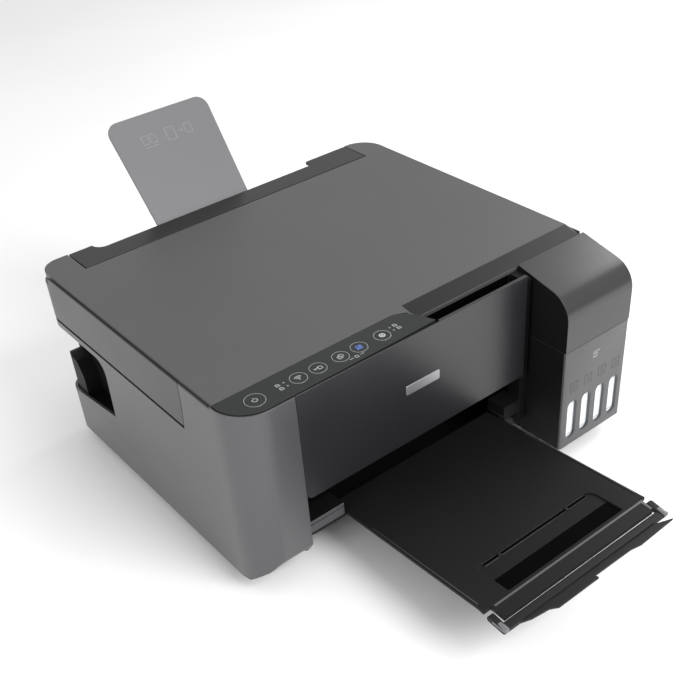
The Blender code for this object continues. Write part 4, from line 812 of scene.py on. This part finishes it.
def rear_details():
    """Mains inlet pins, USB port, ventilation slots, blank plate and screws."""
    rear = limits("rear_cover")[1].y
    inlet = middle("power_inlet")
    profile = [(0, 0), (1.1, 0), (1.1, 6.6), (0.7, 7.3), (0, 7.4)]
    for side in (-1, 1):
        pin = turned("inlet_pin_%d" % side, profile, STEEL)
        put(pin, (inlet.x + side * 4.2, rear - 11, inlet.z), "base", FACE_REAR)
    rim = marking("inlet_rim", [rectangle(21, 15)], DARK, 1.4, 0.5)
    put(rim, (inlet.x, rear - 1.1, inlet.z), "base", FACE_REAR)
    port_x, port_z = 60, 60
    shell = marking("usb_shell", [rectangle(10.6, 9.4)], STEEL, 0.6, 1.0)
    put(shell, (port_x, rear - 1.2, port_z), "base", FACE_REAR)
    # Painted shade: the port's inside is a black plate.
    port = plate("usb_port", rectangle(10, 8.8), 0.3, RECESS_SHADE, 0)
    put(port, (port_x, rear - 1.2, port_z), "base", FACE_REAR)
    tongue = block("usb_tongue", (5.4, 3.0, 0.8), RESIN, 0.2)
    put(tongue, (port_x, rear - 0.7, port_z), "base", FACE_REAR)
    # Painted shade: the vent slots are black bands on the face, not openings.
    slots = [[(-45 + 6 * i, -9), (-45 + 6 * i, 9)] for i in range(16)]
    vents = marking("rear_vents", slots, RECESS_SHADE, 2.4, 0.05)
    put(vents, (187, rear, 104), "base", FACE_REAR)
    label = plate("rear_plate", rectangle(74, 34), 0.12, MARK_DIM, 0)
    put(label, (190, rear, 50), "base", FACE_REAR)
    frame_line = marking("rear_plate_rim", [rectangle(70, 30)], DARK_PRINT_AND_SHADE, 0.4, 0.18)
    put(frame_line, (190, rear, 50), "base", FACE_REAR)
    for i, (x, z) in enumerate(((34, 24), (34, 120), (338, 24), (338, 120))):
        screw("rear_screw_%d" % (i + 1), (x, rear, z))


def feeder_details():
    """Ribs of the rear feed's slope and the grip of the sliding edge guide."""
    tilt = (FEED_TILT - math.pi / 2, 0, 0)
    down = Vector((0, -math.cos(FEED_TILT), -math.sin(FEED_TILT)))
    out = Vector((0, -math.sin(FEED_TILT), math.cos(FEED_TILT)))
    slot_rear = limits("rear_cover")[1].y - 7.7
    slope = Vector((0, slot_rear, 176))
    for i in range(6):
        rib = block("feed_rib_%d" % (i + 1), (1.6, 0.5, 58), DARK, 0.2)
        put(rib, slope + down * 42 + out * 0.1 + Vector((104 + 30 * i, 0, 0)), "base", tilt)
    grip = block("guide_grip", (2.2, 5, 15), GREY, 0.6)
    centre = slope + down * 30 + out * 6.4
    put(grip, (limits("edge_guide")[0].x + 12.0, centre.y, centre.z), "guide", tilt)


def platen_pad():
    """Foam strip that lies in the platen."""
    low, high = limits("platen")
    pad = plate("platen_foam", rectangle(high.x - low.x - 14, 16), 0.9, WHITE, 0.2)
    put(pad, ((low.x + high.x) / 2, low.y + 34, high.z - 2), "base")


def encoder():
    """Encoder strip in front of the guide rail and a clip at each end of it."""
    low, high = limits("guide_rail")
    strip = plate("encoder_strip", rectangle(high.x - low.x - 6, 5.0), 0.15, MARK, 0)
    put(strip, ((low.x + high.x) / 2, low.y - 2.4, 108), "base", FACE_FRONT)
    for i, x in enumerate((low.x + 4, high.x - 4)):
        clip = block("encoder_clip_%d" % (i + 1), (4, 4.5, 7), STEEL, 0.4)
        put(clip, (x, low.y - 1.6, 107), "base")


def exit_wheels():
    """Star wheels over the exit roller, on a steel bar."""
    shaft_y = middle("exit_roller").y
    bar = block("wheel_bar", (226, 3.0, 2.2), STEEL, 0.4)
    put(bar, (167, shaft_y, 93.0), "base")
    profile = [(0, -0.4), (1.2, -0.4), (4.2, -0.08), (4.2, 0.08), (1.2, 0.4), (0, 0.4)]
    for i in range(8):
        wheel = turned("exit_wheel_%d" % (i + 1), profile, STEEL, 18)
        put(wheel, (69 + 28 * i, shaft_y, 87.8), "base", (0, math.pi / 2, 0))


def supply_electronics():
    """Board over the power supply, on four posts, with its capacitors and one chip."""
    low, high = limits("power_supply")
    stand, thick = 4, 1.6
    x, y = (low.x + high.x) / 2, (low.y + high.y) / 2 + 2
    board = plate("supply_board", rectangle(84, 56), thick, BOARD, 0.1)
    put(board, (x, y, high.z + stand), "base")
    for i, (dx, dy) in enumerate(((-37, -24), (37, -24), (-37, 24), (37, 24))):
        post = turned("board_post_%d" % (i + 1), [(0, 0), (2.4, 0), (2.4, stand), (0, stand)],
                      RESIN, 16)
        put(post, (x + dx, y + dy, high.z), "base")
    cans = ((-22, 6, 4.0), (-10, 12, 3.2), (14, -8, 3.2), (25, 10, 4.4))
    for i, (dx, dy, radius) in enumerate(cans):
        profile = [(0, 0), (radius, 0), (radius, 9), (radius - 0.6, 9.6), (0, 9.4)]
        can = turned("capacitor_%d" % (i + 1), profile, MARK_BLUE, 20)
        put(can, (x + dx, y + dy, high.z + stand + thick), "base")
    chip = block("board_chip", (16, 16, 1.8), DARK, 0.2)
    put(chip, (x + 2, y + 12, high.z + 6.4), "base")


def scanner_details():
    """Lamp of the scan head and the white reference strip under the glass."""
    low, high = limits("scan_head")
    lamp = block("scan_lamp", (2.2, high.y - low.y - 10, 0.5), MARK_BRIGHT, 0.15)
    put(lamp, ((low.x + high.x) / 2 + 3, (low.y + high.y) / 2, high.z), "scan_carriage")
    low, high = limits("scanner_glass")
    strip = plate("reference_strip", rectangle(5, high.y - low.y - 12), 0.08, MARK_BRIGHT,
                  0)
    put(strip, (low.x + 7, (low.y + high.y) / 2, low.z - 0.1), "scanner_unit")


# ---------------------------------------------------------------- studio

def studio():
    """Pale floor, even white surroundings and three soft lamps."""
    bm = bmesh.new()
    bmesh.ops.create_grid(bm, x_segments=1, y_segments=1, size=6)
    n = Nodes("floor_paper")
    n.join(n.blend(n.span(n.noise(400, 2.0), 0, 1), (0.86, 0.86, 0.86), (0.9, 0.9, 0.9)),
           n.shader.inputs["Base Color"])
    n.join(n.span(n.noise(300, 2.0), 0.85, 0.95), n.shader.inputs["Roughness"])
    mesh = bpy.data.meshes.new("floor")
    bm.to_mesh(mesh)
    bm.free()
    mesh.materials.append(n.material)
    floor = bpy.data.objects.new("floor", mesh)
    bpy.context.scene.collection.objects.link(floor)
    world = bpy.data.worlds.new("studio")
    world.use_nodes = True
    background = world.node_tree.nodes["Background"]
    background.inputs["Color"].default_value = (1, 1, 1, 1)
    background.inputs["Strength"].default_value = 0.72
    bpy.context.scene.world = world
    aimed_at = at(187, 100, 90)
    lamps = {"key": ((500, -1300, 1300), 900, 30), "right": ((1700, 200, 900), 700, 14),
             "side": ((-1500, -300, 500), 500, 12)}      # place, side in millimetres, watts
    for name, (place, size, power) in lamps.items():
        lamp = bpy.data.lights.new(name, "AREA")
        lamp.shape = "SQUARE"
        lamp.size = size * MM
        lamp.energy = power
        holder = bpy.data.objects.new(name, lamp)
        holder.location = at(*place)
        aim = aimed_at - holder.location
        holder.rotation_euler = aim.to_track_quat("-Z", "Y").to_euler()
        bpy.context.scene.collection.objects.link(holder)


def camera():
    """The photo's view."""
    data = bpy.data.cameras.new("camera")
    data.lens = CAMERA_LENS
    data.sensor_width = 36
    data.shift_x, data.shift_y = CAMERA_SHIFT
    data.clip_start = 0.01
    holder = bpy.data.objects.new("camera", data)
    holder.location = at(*CAMERA_AT)
    holder.rotation_euler = Euler([math.radians(a) for a in CAMERA_TURN])
    bpy.context.scene.collection.objects.link(holder)
    bpy.context.scene.camera = holder


camera()
studio()
dress_nodes()
button_faces()
panel_markings()
front_badge()
lip_details()
tank_markings()
ink_collars()
tray_details()
stopper_details()
support_marks()
scanner_frame()
lid_edge_strip()
finger_hollow()
rear_details()
feeder_details()
platen_pad()
encoder()
exit_wheels()
supply_electronics()
scanner_details()

bpy.context.scene.view_settings.view_transform = "Standard"
